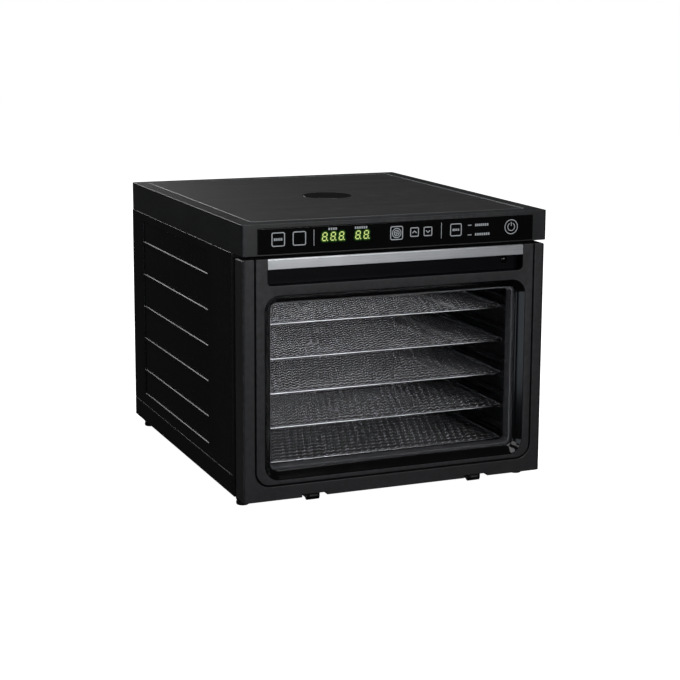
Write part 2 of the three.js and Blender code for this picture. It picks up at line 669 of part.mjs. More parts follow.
function doorOuterFrame() {
  const half = DOOR_WIDTH / 2;
  const { lower, upper } = DOOR_CORNERS;
  const plan = rectangle([-half, half], [back(0), back(DOOR_THICKNESS)], [lower, lower, 0, 0]);
  const elevation = rectangle([-half, half], [FOOT_HEIGHT, DOOR_TOP], [0, 0, upper, upper]);
  let frame = planShape(plan, FOOT_HEIGHT, DOOR_TOP)
    .intersect(frontShape(elevation, back(-1), back(DOOR_THICKNESS + 1)));
  const pocket = bezelOutline(0);
  const pocketShape = rectangle([-pocket.half, pocket.half], [pocket.low, DOOR_TOP + 1],
    [pocket.radius, pocket.radius, 0, 0]);
  frame = frame.subtract(frontShape(pocketShape, back(-1), back(BEZEL_THICKNESS)));
  const { inset } = SIGHT;
  const sight = rectangle([-WINDOW.halfWidth + inset, WINDOW.halfWidth - inset],
    [WINDOW.low + inset, WINDOW.high - inset], SIGHT.radius);
  frame = frame.subtract(frontShape(sight, back(0), back(DOOR_THICKNESS + 1)));
  frame = frame.subtract(cupSpace(BEZEL_THICKNESS - 1, HANDLE.cupDepth + GAP));
  frame = frame.subtract(gasketRing(GAP, back(DOOR_THICKNESS - GASKET.seat), back(DOOR_THICKNESS + 1)));
  const [halfWidth, halfHeight] = CATCH.magnet.map((size) => size + GAP);
  bothSides.forEach(([, side]) => {
    const [x, z] = catchPlaceOf(side);
    frame = frame.subtract(hingeNotch(side * HINGE.spread));
    frame = frame.subtract(block([x - halfWidth, x + halfWidth],
      [back(DOOR_THICKNESS - CATCH.magnetDepth), back(DOOR_THICKNESS + 1)],
      [z - halfHeight, z + halfHeight]));
  });
  return frame;
}

// The space that the handle cup needs between two depths.
function cupSpace(start, end) {
  const { halfWidth, mouthLow, wall, cupHigh } = HANDLE;
  const half = halfWidth + wall + GAP;
  return block([-half, half], [back(start), back(end)], [mouthLow - wall - GAP, cupHigh + GAP]);
}

// The rounded window mouth narrows from the door's face to the glass.
function windowMouth() {
  const { halfWidth, low, high, radius } = WINDOW;
  const reach = 20;
  const geometry = new THREE.ExtrudeGeometry(rectangle([-halfWidth, halfWidth], [low, high], radius), {
    depth: reach,
    bevelEnabled: true,
    bevelThickness: WINDOW_BEVEL.depth,
    bevelSize: WINDOW_BEVEL.width,
    bevelSegments: 1,
    curveSegments: 4,
  });
  geometry.rotateX(Math.PI / 2);
  geometry.translate(0, back(0), 0);
  return solidOf(geometry);
}

function doorInnerFrame() {
  const outer = bezelOutline(GROOVE);
  const outline = rectangle([-outer.half, outer.half], [outer.low, DOOR_TOP],
    [outer.radius, outer.radius, 0, 0]);
  const { halfWidth, low, high } = WINDOW;
  const { margin, radius } = GLASS;
  const throughHole = rectangle([-halfWidth, halfWidth], [low, high], WINDOW.radius);
  const glassSeat = rectangle([-halfWidth - margin - GAP, halfWidth + margin + GAP],
    [low - margin - GAP, high + margin + GAP], radius + GAP);
  const handleMouth = rectangle([-HANDLE.halfWidth - GAP, HANDLE.halfWidth + GAP],
    [HANDLE.mouthLow, HANDLE.stripLow], [HANDLE.mouthRadius, HANDLE.mouthRadius, 0, 0]);
  return frontShape(outline, back(0), back(BEZEL_THICKNESS - GAP))
    .subtract(windowMouth())
    .subtract(frontShape(throughHole, back(WINDOW_BEVEL.depth - 1), back(BEZEL_THICKNESS)))
    .subtract(frontShape(glassSeat, back(WINDOW_BEVEL.depth + GAP), back(BEZEL_THICKNESS)))
    .subtract(frontShape(handleMouth, back(-1), back(BEZEL_THICKNESS)))
    .subtract(cupSpace(HANDLE.skin, BEZEL_THICKNESS))
    .subtract(block([-HANDLE.halfWidth - GAP, HANDLE.halfWidth + GAP],
      [back(-1), back(HANDLE.stripThickness + GAP)], [HANDLE.stripLow - GAP, DOOR_TOP + 1]));
}

function doorGlass() {
  const { halfWidth, low, high } = WINDOW;
  const { margin, thickness, radius } = GLASS;
  const start = WINDOW_BEVEL.depth + 2 * GAP;
  const outline = rectangle([-halfWidth - margin, halfWidth + margin],
    [low - margin, high + margin], radius);
  return frontShape(outline, back(start), back(start + thickness));
}

function handleCup() {
  const { halfWidth, mouthLow, mouthRadius, skin, wall, cupHigh, cupDepth } = HANDLE;
  const shell = block([-halfWidth - wall, halfWidth + wall], [back(skin + GAP), back(cupDepth)],
    [mouthLow - wall, cupHigh]);
  const mouth = rectangle([-halfWidth, halfWidth], [mouthLow, cupHigh - 1], [mouthRadius, mouthRadius, 0, 0]);
  return shell.subtract(frontShape(mouth, back(-1), back(cupDepth - wall)));
}

function handleStrip() {
  const { halfWidth, stripLow, stripThickness, stripChamfer: chamfer } = HANDLE;
  const section = new THREE.Shape();
  section.moveTo(back(0), stripLow);
  section.lineTo(back(stripThickness), stripLow);
  section.lineTo(back(stripThickness), DOOR_TOP);
  section.lineTo(back(chamfer), DOOR_TOP);
  section.lineTo(back(0), DOOR_TOP - chamfer);
  section.closePath();
  const geometry = new THREE.ExtrudeGeometry(section, { depth: 2 * halfWidth, bevelEnabled: false });
  geometry.translate(0, 0, -halfWidth);
  geometry.rotateX(Math.PI / 2);
  geometry.rotateZ(Math.PI / 2);
  return solidOf(geometry);
}

function doorMagnet(side) {
  const [x, z] = catchPlaceOf(side);
  const [halfWidth, halfHeight] = CATCH.magnet;
  return block([x - halfWidth, x + halfWidth],
    [back(DOOR_THICKNESS - CATCH.magnetDepth + GAP), back(FRAME.back - GAP)],
    [z - halfHeight, z + halfHeight]);
}

function onHingeAxis(radius, [x0, x1], sides = 16) {
  return cylinderAlongX(radius, [x0, x1], back(HINGE.back), HINGE.height, sides);
}

function hingeClevis(side) {
  const x = side * HINGE.spread;
  const inner = HINGE.knuckleWidth / 2 + GAP;
  const outer = inner + HINGE.earWidth;
  const bridgeHigh = NOTCH.ceiling - GAP;
  const bridgeLow = bridgeHigh - HINGE.earWidth;
  const depth = [back(HINGE.back - HINGE.knuckleRadius), back(HINGE.back + HINGE.knuckleRadius)];
  let clevis = block([x - outer, x + outer], depth, [bridgeLow, bridgeHigh]);
  [[x - outer, x - inner], [x + inner, x + outer]].forEach((ear) => {
    const upright = block(ear, depth, [HINGE.height, bridgeHigh]);
    clevis = clevis.add(onHingeAxis(HINGE.knuckleRadius, ear)).add(upright);
  });
  return clevis.subtract(onHingeAxis(HINGE.pinRadius + GAP, [x - outer - 1, x + outer + 1], 12));
}

function hingePin(side) {
  const x = side * HINGE.spread;
  const half = HINGE.knuckleWidth / 2 + GAP + HINGE.earWidth + 0.5;
  return onHingeAxis(HINGE.pinRadius, [x - half, x + half], 12);
}

function hingeBracket(side) {
  const x = side * HINGE.spread;
  const half = HINGE.knuckleWidth / 2;
  const armTop = FOOT_HEIGHT - GAP;
  const armBottom = HINGE.height - HINGE.knuckleRadius;
  const { armEnd, flangeStart, flangeHalfWidth, flangeThickness } = HINGE;
  const arm = block([x - half, x + half], [back(HINGE.back), back(armEnd)], [armBottom, armTop]);
  const flange = block([x - flangeHalfWidth, x + flangeHalfWidth], [back(flangeStart), back(armEnd)],
    [armTop - flangeThickness, armTop]);
  const knuckle = onHingeAxis(HINGE.knuckleRadius, [x - half, x + half]);
  const bore = onHingeAxis(HINGE.pinRadius + GAP, [x - half - 1, x + half + 1], 12);
  return arm.add(knuckle).add(flange).subtract(bore);
}

function buildDoor() {
  addPiece('door_outer_frame', doorOuterFrame(), FINISHES.grainedPlastic);
  addPiece('door_inner_frame', doorInnerFrame(), FINISHES.grainedPlastic);
  addPiece('door_glass', doorGlass(), FINISHES.glass);
  addPiece('door_gasket', gasketRing(0, back(DOOR_THICKNESS - GASKET.seat + GAP), back(FRAME.back - 0.5)),
    FINISHES.rubber);
  addPiece('handle_cup', handleCup(), FINISHES.glossPlastic);
  addPiece('handle_strip', handleStrip(), FINISHES.brushedAluminium);
  bothSides.forEach(([name, side]) => {
    addPiece(`door_magnet_${name}`, doorMagnet(side), FINISHES.magnet);
    addPiece(`hinge_clevis_${name}`, hingeClevis(side), FINISHES.zincSteel);
    addPiece(`hinge_pin_${name}`, hingePin(side), FINISHES.stainless);
    addPiece(`hinge_bracket_${name}`, hingeBracket(side), FINISHES.zincSteel);
  });
}

// ---------------------------------------------------------------- trays

function tray(index) {
  const { halfWidth, back: start, depth, thickness } = TRAY;
  const { columns, rows, rim, bar, radius } = TRAY_GRID;
  const low = trayBottom(index);
  const through = [low - 1, low + thickness + 1];
  let mesh = planShape(rectangle([-halfWidth, halfWidth], [back(start), back(start + depth)], radius),
    low, low + thickness, 3);
  const columnPitch = (2 * halfWidth - 2 * rim + bar) / columns;
  const rowPitch = (depth - 2 * rim + bar) / rows;
  for (let column = 0; column < columns; column += 1) {
    for (let row = 0; row < rows; row += 1) {
      const x = -halfWidth + rim + column * columnPitch;
      const y = back(start + rim + row * rowPitch);
      mesh = mesh.subtract(block([x, x + columnPitch - bar], [y, y + rowPitch - bar], through));
    }
  }
  return mesh;
}

function buildTrays() {
  for (let index = 0; index < TRAY.count; index += 1) {
    addPiece(`tray_${index + 1}`, tray(index), FINISHES.stainless);
  }
}

buildHousing();
buildCasing();
buildChamber();
buildDoor();
buildTrays();

export default model;
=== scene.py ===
"""Looks for a cabinet food dehydrator with a drop-down glass door and six woven-wire trays.

Everything is in metres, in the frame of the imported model: +Z up, the door faces -Y, and the
origin is on the table under the middle of the object.
"""

import logging
import math
from dataclasses import dataclass, field
from enum import Enum
from typing import Callable, Iterable, Sequence

import bmesh
import bpy
from mathutils import Matrix, Vector
from mathutils.bvhtree import BVHTree


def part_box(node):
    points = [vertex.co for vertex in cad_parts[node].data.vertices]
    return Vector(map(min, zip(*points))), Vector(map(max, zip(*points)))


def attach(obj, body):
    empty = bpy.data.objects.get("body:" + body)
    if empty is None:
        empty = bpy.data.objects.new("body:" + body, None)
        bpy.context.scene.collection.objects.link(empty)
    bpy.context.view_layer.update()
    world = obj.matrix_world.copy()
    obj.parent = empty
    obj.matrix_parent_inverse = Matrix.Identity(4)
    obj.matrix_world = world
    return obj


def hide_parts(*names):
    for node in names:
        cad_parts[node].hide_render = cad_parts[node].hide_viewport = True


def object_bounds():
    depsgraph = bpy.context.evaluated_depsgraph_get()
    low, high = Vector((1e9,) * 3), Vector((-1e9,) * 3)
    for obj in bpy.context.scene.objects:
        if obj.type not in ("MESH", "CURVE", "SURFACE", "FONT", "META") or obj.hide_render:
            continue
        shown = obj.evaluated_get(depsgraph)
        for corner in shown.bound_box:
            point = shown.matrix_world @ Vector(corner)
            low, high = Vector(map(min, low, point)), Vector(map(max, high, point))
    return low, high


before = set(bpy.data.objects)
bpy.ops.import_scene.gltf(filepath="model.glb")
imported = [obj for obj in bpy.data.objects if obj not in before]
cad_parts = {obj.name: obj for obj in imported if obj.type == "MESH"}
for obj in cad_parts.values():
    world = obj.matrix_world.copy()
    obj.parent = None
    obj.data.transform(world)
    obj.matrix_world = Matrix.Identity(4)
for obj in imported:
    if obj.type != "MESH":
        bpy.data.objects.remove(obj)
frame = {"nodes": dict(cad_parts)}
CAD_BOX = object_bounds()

log = logging.getLogger("dehydrator")

MM = 0.001
SHARP_ABOVE = math.radians(40.0)
FLAT_WITHIN = math.radians(0.6)
MERGE_WITHIN = 0.01 * MM
Colour = tuple[float, float, float]
Place = tuple[float, float, float]
Point = tuple[float, float]
DOOR_FACE = CAD_BOX[0][1]
SIDES = ("left", "right")


def grey(level: float) -> Colour:
    """A neutral linear colour of that level."""
    return (level, level, level)


def both_sides(place: float) -> list[tuple[int, float]]:
    """Cuts across X at that many millimetres to the left and the right of the middle."""
    return [(0, -place), (0, place)]


def behind(depth: float) -> float:
    """The Y place that lies depth millimetres behind the door's front face."""
    return DOOR_FACE + depth * MM


# ------------------------------------------------------------------------------ node helpers


class NodeSheet:
    """Short calls that fill one node tree, for a material, a shader group or a geometry tree."""

    def __init__(self, tree: bpy.types.NodeTree) -> None:
        """Keeps the tree that the calls fill."""
        self.tree = tree

    def add(self, kind: str, inputs: dict | None = None, **settings: object) -> bpy.types.Node:
        """Adds a node.

        Args:
            kind: The node's type name.
            inputs: Input values or output sockets to link, by socket name or index.
            settings: The node's own properties.

        Returns:
            The new node.
        """
        node = self.tree.nodes.new(kind)
        for name, value in settings.items():
            setattr(node, name, value)
        for key, value in (inputs or {}).items():
            self.feed(node.inputs[key], value)
        return node

    def feed(self, socket: bpy.types.NodeSocket, value: object) -> None:
        """Links a socket to an output, or sets its plain value."""
        if isinstance(value, bpy.types.NodeSocket):
            self.tree.links.new(value, socket)
        elif isinstance(value, tuple) and len(value) == 3 and socket.type == "RGBA":
            socket.default_value = (*value, 1.0)
        else:
            socket.default_value = value

    def math(self, operation: str, first: object, second: object = 0.0, third: object = 0.0,
             clamp: bool = False) -> bpy.types.NodeSocket:
        """Adds a Math node and returns its result."""
        values = {0: first, 1: second, 2: third}
        return self.add("ShaderNodeMath", values, operation=operation, use_clamp=clamp).outputs[0]

    def vector(self, operation: str, first: object,
               second: object = (0.0, 0.0, 0.0)) -> bpy.types.NodeSocket:
        """Adds a Vector Math node and returns its vector result."""
        return self.add("ShaderNodeVectorMath", {0: first, 1: second}, operation=operation).outputs[0]

    def scaled(self, vector: object, factor: object) -> bpy.types.NodeSocket:
        """Multiplies a vector by a number and returns the result."""
        values = {0: vector, "Scale": factor}
        return self.add("ShaderNodeVectorMath", values, operation="SCALE").outputs[0]

    def spread(self, value: object, low: float, high: float, to_low: float,
               to_high: float) -> bpy.types.NodeSocket:
        """Maps a value from one range to another, clamped, and returns the result."""
        values = {"Value": value, "From Min": low, "From Max": high, "To Min": to_low, "To Max": to_high}
        return self.add("ShaderNodeMapRange", values, clamp=True).outputs[0]

    def blend(self, share: object, first: object, second: object) -> bpy.types.NodeSocket:
        """Mixes two colours and returns the result."""
        node = self.add("ShaderNodeMix", data_type="RGBA")
        self.feed(node.inputs[0], share)
        self.feed(node.inputs[6], first)
        self.feed(node.inputs[7], second)
        return node.outputs[2]


class SharedEffect:
    """A shader node group that several materials use."""

    def __init__(self, name: str, inputs: dict[str, float | tuple], outputs: Sequence[str]) -> None:
        """Makes the empty group with its named sockets.

        Args:
            name: The group's name.
            inputs: Socket names with their starting values. A tuple makes a vector socket.
            outputs: Names of the value outputs.
        """
        self.tree = bpy.data.node_groups.new(name, "ShaderNodeTree")
        for label, value in inputs.items():
            kind = "NodeSocketVector" if isinstance(value, tuple) else "NodeSocketFloat"
            socket = self.tree.interface.new_socket(label, in_out="INPUT", socket_type=kind)
            socket.default_value = value
        for label in outputs:
            self.tree.interface.new_socket(label, in_out="OUTPUT", socket_type="NodeSocketFloat")
        self.sheet = NodeSheet(self.tree)
        self.into = self.sheet.add("NodeGroupInput").outputs
        self.out = self.sheet.add("NodeGroupOutput").inputs

    def patches(self, size: str) -> bpy.types.NodeSocket:
        """Object coordinates in units of the input that has this name."""
        place = self.sheet.add("ShaderNodeTexCoord").outputs["Object"]
        return self.sheet.scaled(place, self.sheet.math("DIVIDE", 1.0, self.into[size]))

    def place(self, sheet: NodeSheet, **values: object) -> bpy.types.NodeOutputs:
        """Puts the group into a material, with spaces in socket names written as underscores."""
        inputs = {name.replace("_", " "): value for name, value in values.items()}
        node = sheet.add("ShaderNodeGroup", node_tree=self.tree)
        for name, value in inputs.items():
            sheet.feed(node.inputs[name], value)
        return node.outputs


class Effects:
    """The shared surface effects: moulded grain, drawn lines, worn edges and dust."""

    def __init__(self) -> None:
        """Builds each group once."""
        self.grain = self._grain()
        self.lines = self._lines()
        self.wear = self._wear()
        self.dust = self._dust()

    @staticmethod
    def _grain() -> SharedEffect:
        """Spark-eroded grain: a fine cell height, a fleck and a slow cloud."""
        sizes = {"Cell": 0.0006, "Cloud": 0.05}
        effect = SharedEffect("Moulded Grain", sizes, ("Height", "Fleck", "Cloud"))
        sheet = effect.sheet
        cells = effect.patches("Cell")
        pits = sheet.add("ShaderNodeTexVoronoi", {"Vector": cells, "Scale": 1.0}, feature="SMOOTH_F1")
        rough = sheet.add("ShaderNodeTexNoise", {"Vector": cells, "Scale": 1.7, "Detail": 3.0})
        clouds = {"Vector": effect.patches("Cloud"), "Scale": 1.0, "Detail": 4.0}
        cloud = sheet.add("ShaderNodeTexNoise", clouds)
        height = sheet.math("MULTIPLY_ADD", pits.outputs["Distance"], 0.7, rough.outputs[0])
        sheet.feed(effect.out["Height"], height)
        sheet.feed(effect.out["Fleck"], sheet.spread(rough.outputs[0], 0.42, 0.68, 0.0, 1.0))
        sheet.feed(effect.out["Cloud"], cloud.outputs[0])
        return effect

    @staticmethod
    def _lines() -> SharedEffect:
        """Fine parallel lines. Stretch is how often the pattern changes per metre along each axis."""
        effect = SharedEffect("Drawn Lines", {"Stretch": (3.0, 900.0, 900.0)}, ("Height", "Streak"))
        sheet = effect.sheet
        place = sheet.add("ShaderNodeTexCoord").outputs["Object"]
        drawn = sheet.vector("MULTIPLY", place, effect.into["Stretch"])
        fine = sheet.add("ShaderNodeTexNoise", {
            "Vector": drawn, "Scale": 1.0, "Detail": 4.0, "Roughness": 0.7})
        wide = sheet.add("ShaderNodeTexNoise", {"Vector": drawn, "Scale": 0.13, "Detail": 2.0})
        sheet.feed(effect.out["Height"], fine.outputs[0])
        sheet.feed(effect.out["Streak"], sheet.spread(wide.outputs[0], 0.3, 0.7, 0.0, 1.0))
        return effect

    @staticmethod
    def _wear() -> SharedEffect:
        """A broken mask along outer edges."""
        effect = SharedEffect("Edge Wear", {"Reach": 0.1, "Breakup": 0.004}, ("Mask",))
        sheet = effect.sheet
        broken = {"Vector": effect.patches("Breakup"), "Scale": 1.0, "Detail": 3.0}
        noise = sheet.spread(sheet.add("ShaderNodeTexNoise", broken).outputs[0], 0.35, 0.65, 0.2, 1.0)
        point = sheet.add("ShaderNodeNewGeometry").outputs["Pointiness"]
        above_flat = sheet.math("SUBTRACT", point, 0.52)
        raised = sheet.math("DIVIDE", above_flat, effect.into["Reach"], clamp=True)
        sheet.feed(effect.out["Mask"], sheet.math("MULTIPLY", raised, noise))
        return effect

    @staticmethod
    def _dust() -> SharedEffect:
        """A thin uneven film on faces that look up."""
        effect = SharedEffect("Dust", {"Patch": 0.02}, ("Mask",))
        sheet = effect.sheet
        uneven = {"Vector": effect.patches("Patch"), "Scale": 1.0, "Detail": 6.0}
        noise = sheet.spread(sheet.add("ShaderNodeTexNoise", uneven).outputs[0], 0.35, 0.75, 0.0, 1.0)
        normal = sheet.add("ShaderNodeNewGeometry").outputs["Normal"]
        facing = sheet.add("ShaderNodeSeparateXYZ", {0: normal})
        upward = sheet.spread(facing.outputs[2], 0.5, 1.0, 0.0, 1.0)
        sheet.feed(effect.out["Mask"], sheet.math("MULTIPLY", upward, noise))
        return effect


# ------------------------------------------------------------------------------ finishes


@dataclass(frozen=True)
class Finish:
    """A finish that dresses a piece. Every kind fills its own material."""

    title: str

    def build(self, effects: Effects) -> bpy.types.Material:
        """Builds the material.

        Args:
            effects: The shared effects to place in it.

        Returns:
            The finished material.
        """
        material = bpy.data.materials.new(self.title)
        material.use_nodes = True
        material.node_tree.nodes.clear()
        sheet = NodeSheet(material.node_tree)
        shader = self.fill(sheet, effects)
        sheet.add("ShaderNodeOutputMaterial", {"Surface": shader})
        return material

    def fill(self, sheet: NodeSheet, effects: Effects) -> bpy.types.NodeSocket:
        """Adds the finish's own nodes and returns the shader to show."""
        raise NotImplementedError


@dataclass(frozen=True)
class Moulding(Finish):
    """Moulded plastic or rubber with a grain of its own."""

    colour: Colour = (0.012, 0.012, 0.013)
    light: Colour = (0.03, 0.03, 0.032)
    roughness: tuple[float, float] = (0.35, 0.45)
    cell: float = 0.0006
    depth: float = 0.00002
    cloud: float = 0.05
    wear: float = 0.25
    dust: float = 0.06
    dust_colour: Colour = (0.25, 0.25, 0.24)
    specular: float = 0.5

    def fill(self, sheet: NodeSheet, effects: Effects) -> bpy.types.NodeSocket:
        """Adds the grain, the worn edges and the dust film."""
        grain = effects.grain.place(sheet, Cell=self.cell, Cloud=self.cloud)
        worn = effects.wear.place(sheet, Reach=0.08, Breakup=0.006)["Mask"]
        film = effects.dust.place(sheet, Patch=0.03)["Mask"]
        fleck = sheet.blend(sheet.math("MULTIPLY", grain["Fleck"], 0.6), self.colour, self.light)
        rubbed = tuple(c * 3 for c in self.light)
        edged = sheet.blend(sheet.math("MULTIPLY", worn, self.wear), fleck, rubbed)
        dusty = sheet.blend(sheet.math("MULTIPLY", film, self.dust), edged, self.dust_colour)
        bump = sheet.add("ShaderNodeBump", {
            "Height": grain["Height"], "Distance": self.depth, "Strength": 1.0})
        shade = {
            "Base Color": dusty,
            "Roughness": sheet.spread(grain["Cloud"], 0.3, 0.7, *self.roughness),
            "Normal": bump.outputs[0],
            "Specular IOR Level": self.specular,
        }
        return sheet.add("ShaderNodeBsdfPrincipled", shade).outputs[0]


@dataclass(frozen=True)
class DrawnMetal(Finish):
    """Metal with drawn, brushed or rolled lines."""

    colour: Colour = (0.6, 0.61, 0.62)
    stain: Colour = (0.45, 0.46, 0.47)
    roughness: tuple[float, float] = (0.2, 0.35)
    stretch: Place = (6.0, 1500.0, 1500.0)
    depth: float = 0.000004
    metallic: float = 1.0

    def fill(self, sheet: NodeSheet, effects: Effects) -> bpy.types.NodeSocket:
        """Adds the lines to the colour, the roughness and the surface."""
        lines = effects.lines.place(sheet, Stretch=self.stretch)
        cloud = effects.grain.place(sheet, Cell=0.0004, Cloud=0.02)["Cloud"]
        share = sheet.math("MULTIPLY", lines["Streak"], sheet.spread(cloud, 0.35, 0.65, 0.3, 1.0))
        bump = sheet.add("ShaderNodeBump", {
            "Height": lines["Height"], "Distance": self.depth, "Strength": 1.0})
        shade = {
            "Base Color": sheet.blend(share, self.colour, self.stain),
            "Metallic": self.metallic,
            "Roughness": sheet.spread(lines["Height"], 0.3, 0.7, *self.roughness),
            "Normal": bump.outputs[0],
        }
        return sheet.add("ShaderNodeBsdfPrincipled", shade).outputs[0]


@dataclass(frozen=True)
class PaneGlass(Finish):
    """Thin tinted glass that lets light and shadow rays straight through."""

    tint: Colour = (0.93, 0.94, 0.95)
    smear: Colour = (0.9, 0.91, 0.93)
    ior: float = 1.05

    def fill(self, sheet: NodeSheet, effects: Effects) -> bpy.types.NodeSocket:
        """Adds a faint uneven tint and the clear path for shadow rays."""
        cloud = effects.grain.place(sheet, Cell=0.001, Cloud=0.06)["Cloud"]
        shade = {
            "Base Color": sheet.blend(cloud, self.tint, self.smear),
            "Roughness": 0.0,
            "IOR": self.ior,
            "Transmission Weight": 1.0,
        }
        pane = sheet.add("ShaderNodeBsdfPrincipled", shade)
        clear = sheet.add("ShaderNodeBsdfTransparent", {"Color": self.tint})
        shadow = sheet.add("ShaderNodeLightPath").outputs["Is Shadow Ray"]
        choice = {0: shadow, 1: pane.outputs[0], 2: clear.outputs[0]}
        return sheet.add("ShaderNodeMixShader", choice).outputs[0]


@dataclass(frozen=True)
class PrintedInk(Finish):
    """Screen-printed ink with a slightly uneven film and a painted glow that keeps it bright under any
    light.
    """

    colour: Colour = (0.4, 0.42, 0.44)
    thin: Colour = (0.3, 0.32, 0.34)
    # lit is the strength of a painted glow: the ink gives off light though it is no lamp.
    lit: float = 0.3

    def fill(self, sheet: NodeSheet, effects: Effects) -> bpy.types.NodeSocket:
        """Adds the uneven film and its painted glow."""
        grain = effects.grain.place(sheet, Cell=0.00012, Cloud=0.004)
        film = sheet.blend(grain["Cloud"], self.colour, self.thin)
        shade = {
            "Base Color": film,
            "Roughness": 0.5,
            # Painted glow: the ink emits its own film colour.
            "Emission Color": film,
            "Emission Strength": self.lit,
        }
        return sheet.add("ShaderNodeBsdfPrincipled", shade).outputs[0]


@dataclass(frozen=True)
class LitFilm(Finish):
    """A lit film whose light follows the piece's own glow attribute."""

    colour: Colour = (0.75, 0.88, 0.28)
    dark: Colour = (0.004, 0.005, 0.003)
    strength: float = 1.0

    def fill(self, sheet: NodeSheet, effects: Effects) -> bpy.types.NodeSocket:
        """Adds the light, weighted by the attribute and a faint noise."""
        glow = sheet.add("ShaderNodeAttribute", attribute_name="glow").outputs["Fac"]
        cloud = effects.grain.place(sheet, Cell=0.0002, Cloud=0.002)["Cloud"]
        share = sheet.math("MULTIPLY", glow, sheet.spread(cloud, 0.3, 0.7, 0.9, 1.0))
        shade = {
            "Base Color": self.dark,
            "Roughness": 0.09,
            "Emission Color": sheet.blend(share, grey(0.0), self.colour),
            "Emission Strength": self.strength,
        }
        return sheet.add("ShaderNodeBsdfPrincipled", shade).outputs[0]


class Palette:
    """Every finish of the object, each built once."""

    GRAINED = Moulding("Grained plastic", colour=(0.018, 0.018, 0.02), light=(0.04, 0.04, 0.044),
                       roughness=(0.42, 0.52), cell=0.0007, depth=0.00006, wear=0.5)
    SATIN = Moulding("Satin plastic", colour=(0.003, 0.003, 0.004), light=(0.006, 0.006, 0.0075),
                     roughness=(0.24, 0.32), cell=0.0005, depth=0.000006, wear=0.35)
    HOUSING = Moulding("Housing plastic", colour=(0.012, 0.013, 0.014), light=(0.024, 0.026, 0.028),
                       roughness=(0.34, 0.42), cell=0.0005, depth=0.00002, wear=0.5)
    GLOSS = Moulding("Gloss plastic", colour=(0.0025, 0.0026, 0.003), light=(0.004, 0.004, 0.0045),
                     roughness=(0.08, 0.12), cell=0.0012, depth=0.000001, wear=0.15, dust=0.02)
    # Near-black plastic; its bluish tint paints the faint navy reflection on the recess back wall.
    RECESS = Moulding("Recess plastic", colour=(0.0022, 0.0024, 0.0045),
                      light=(0.003, 0.0032, 0.006), roughness=(0.3, 0.4), cell=0.0012,
                      depth=0.000004, wear=0.1, dust=0.0, specular=0.12)
    INNER = Moulding("Inner plastic", colour=(0.012, 0.012, 0.013), light=(0.02, 0.02, 0.021),
                     roughness=(0.5, 0.6), cell=0.0009, depth=0.00004, wear=0.3)
    # A light half-metal finish that paints the bright highlight lines along the top plate's edges.
    PAINTED_HIGHLIGHT_BORDER = DrawnMetal("Plate border", colour=(0.16, 0.165, 0.17), stain=(0.1, 0.1, 0.105),
                        roughness=(0.3, 0.4), stretch=(12.0, 12.0, 700.0), depth=0.000004,
                        metallic=0.5)
    RUBBER = Moulding("Rubber", colour=(0.01, 0.01, 0.01), light=(0.02, 0.02, 0.02),
                      roughness=(0.75, 0.9), cell=0.0004, depth=0.00004, wear=0.2, dust=0.2)
    MAGNET = Moulding("Magnet strip", colour=(0.03, 0.03, 0.032), light=(0.08, 0.08, 0.085),
                      roughness=(0.3, 0.45), cell=0.0003, depth=0.00001)
    BOARD = Moulding("Circuit board", colour=(0.008, 0.07, 0.022), light=(0.02, 0.13, 0.05),
                     roughness=(0.3, 0.45), cell=0.0018, depth=0.00002, wear=0.1)
    PLATE = DrawnMetal("Textured top plate", colour=(0.018, 0.018, 0.019),
                       stain=(0.035, 0.035, 0.037), roughness=(0.42, 0.55),
                       stretch=(8.0, 900.0, 900.0), depth=0.00003, metallic=0.0)
    ALUMINIUM = DrawnMetal("Brushed aluminium", colour=(0.78, 0.8, 0.83), stain=(0.62, 0.65, 0.68),
                           roughness=(0.28, 0.42), stretch=(10.0, 2500.0, 2500.0), depth=0.000006)
    STAINLESS = DrawnMetal("Stainless wire", colour=(0.64, 0.64, 0.66), stain=(0.44, 0.44, 0.46),
                           roughness=(0.2, 0.28), stretch=(160.0, 160.0, 900.0), depth=0.000001)
    # A darker copy of the inner plastic: painted shade for the enclosed chamber, its mouth frame and the
    # door seal.
    SHADED_CHAMBER = Moulding("Chamber plastic", colour=(0.003, 0.003, 0.0033),
                       light=(0.006, 0.006, 0.0066), roughness=(0.5, 0.6), cell=0.0009, depth=0.00003, wear=0.3, specular=0.25)
    ZINC = DrawnMetal("Zinc-plated steel", colour=(0.42, 0.43, 0.44), stain=(0.28, 0.29, 0.31),
                      roughness=(0.3, 0.5), stretch=(220.0, 220.0, 220.0), depth=0.00001)
    HINGE = DrawnMetal("Blackened steel", colour=(0.05, 0.05, 0.052), stain=(0.02, 0.02, 0.021),
                       roughness=(0.35, 0.5), stretch=(260.0, 260.0, 260.0), depth=0.00001)
    HEATER = DrawnMetal("Heater steel", colour=(0.2, 0.17, 0.15), stain=(0.09, 0.07, 0.08),
                        roughness=(0.4, 0.6), stretch=(90.0, 300.0, 90.0), depth=0.00002)
    GLASS = PaneGlass("Door glass")
    INK = PrintedInk("Fascia print")
    DIGITS = LitFilm("Lit digits")
    # Painted glow: a film round the digits that gives off the spill of their light, though it is no lamp.
    HALO = LitFilm("Digit glow", colour=(0.02, 0.09, 0.012), dark=(0.0025, 0.0026, 0.003))
    LED = LitFilm("Display module", colour=(0.1, 0.3, 0.05), dark=(0.3, 0.34, 0.26), strength=0.2)

    def __init__(self) -> None:
        """Starts with no material built."""
        self.effects = Effects()
        self.built: dict[Finish, bpy.types.Material] = {}

    def material(self, finish: Finish) -> bpy.types.Material:
        """The finish's material, built at its first use."""
        if finish not in self.built:
            self.built[finish] = finish.build(self.effects)
        return self.built[finish]


# ------------------------------------------------------------------------------ mesh helpers


class Body(Enum):
    """The bodies that the pieces ride on."""

    CABINET = "cabinet"
    DOOR = "door"
    FAN = "fan"


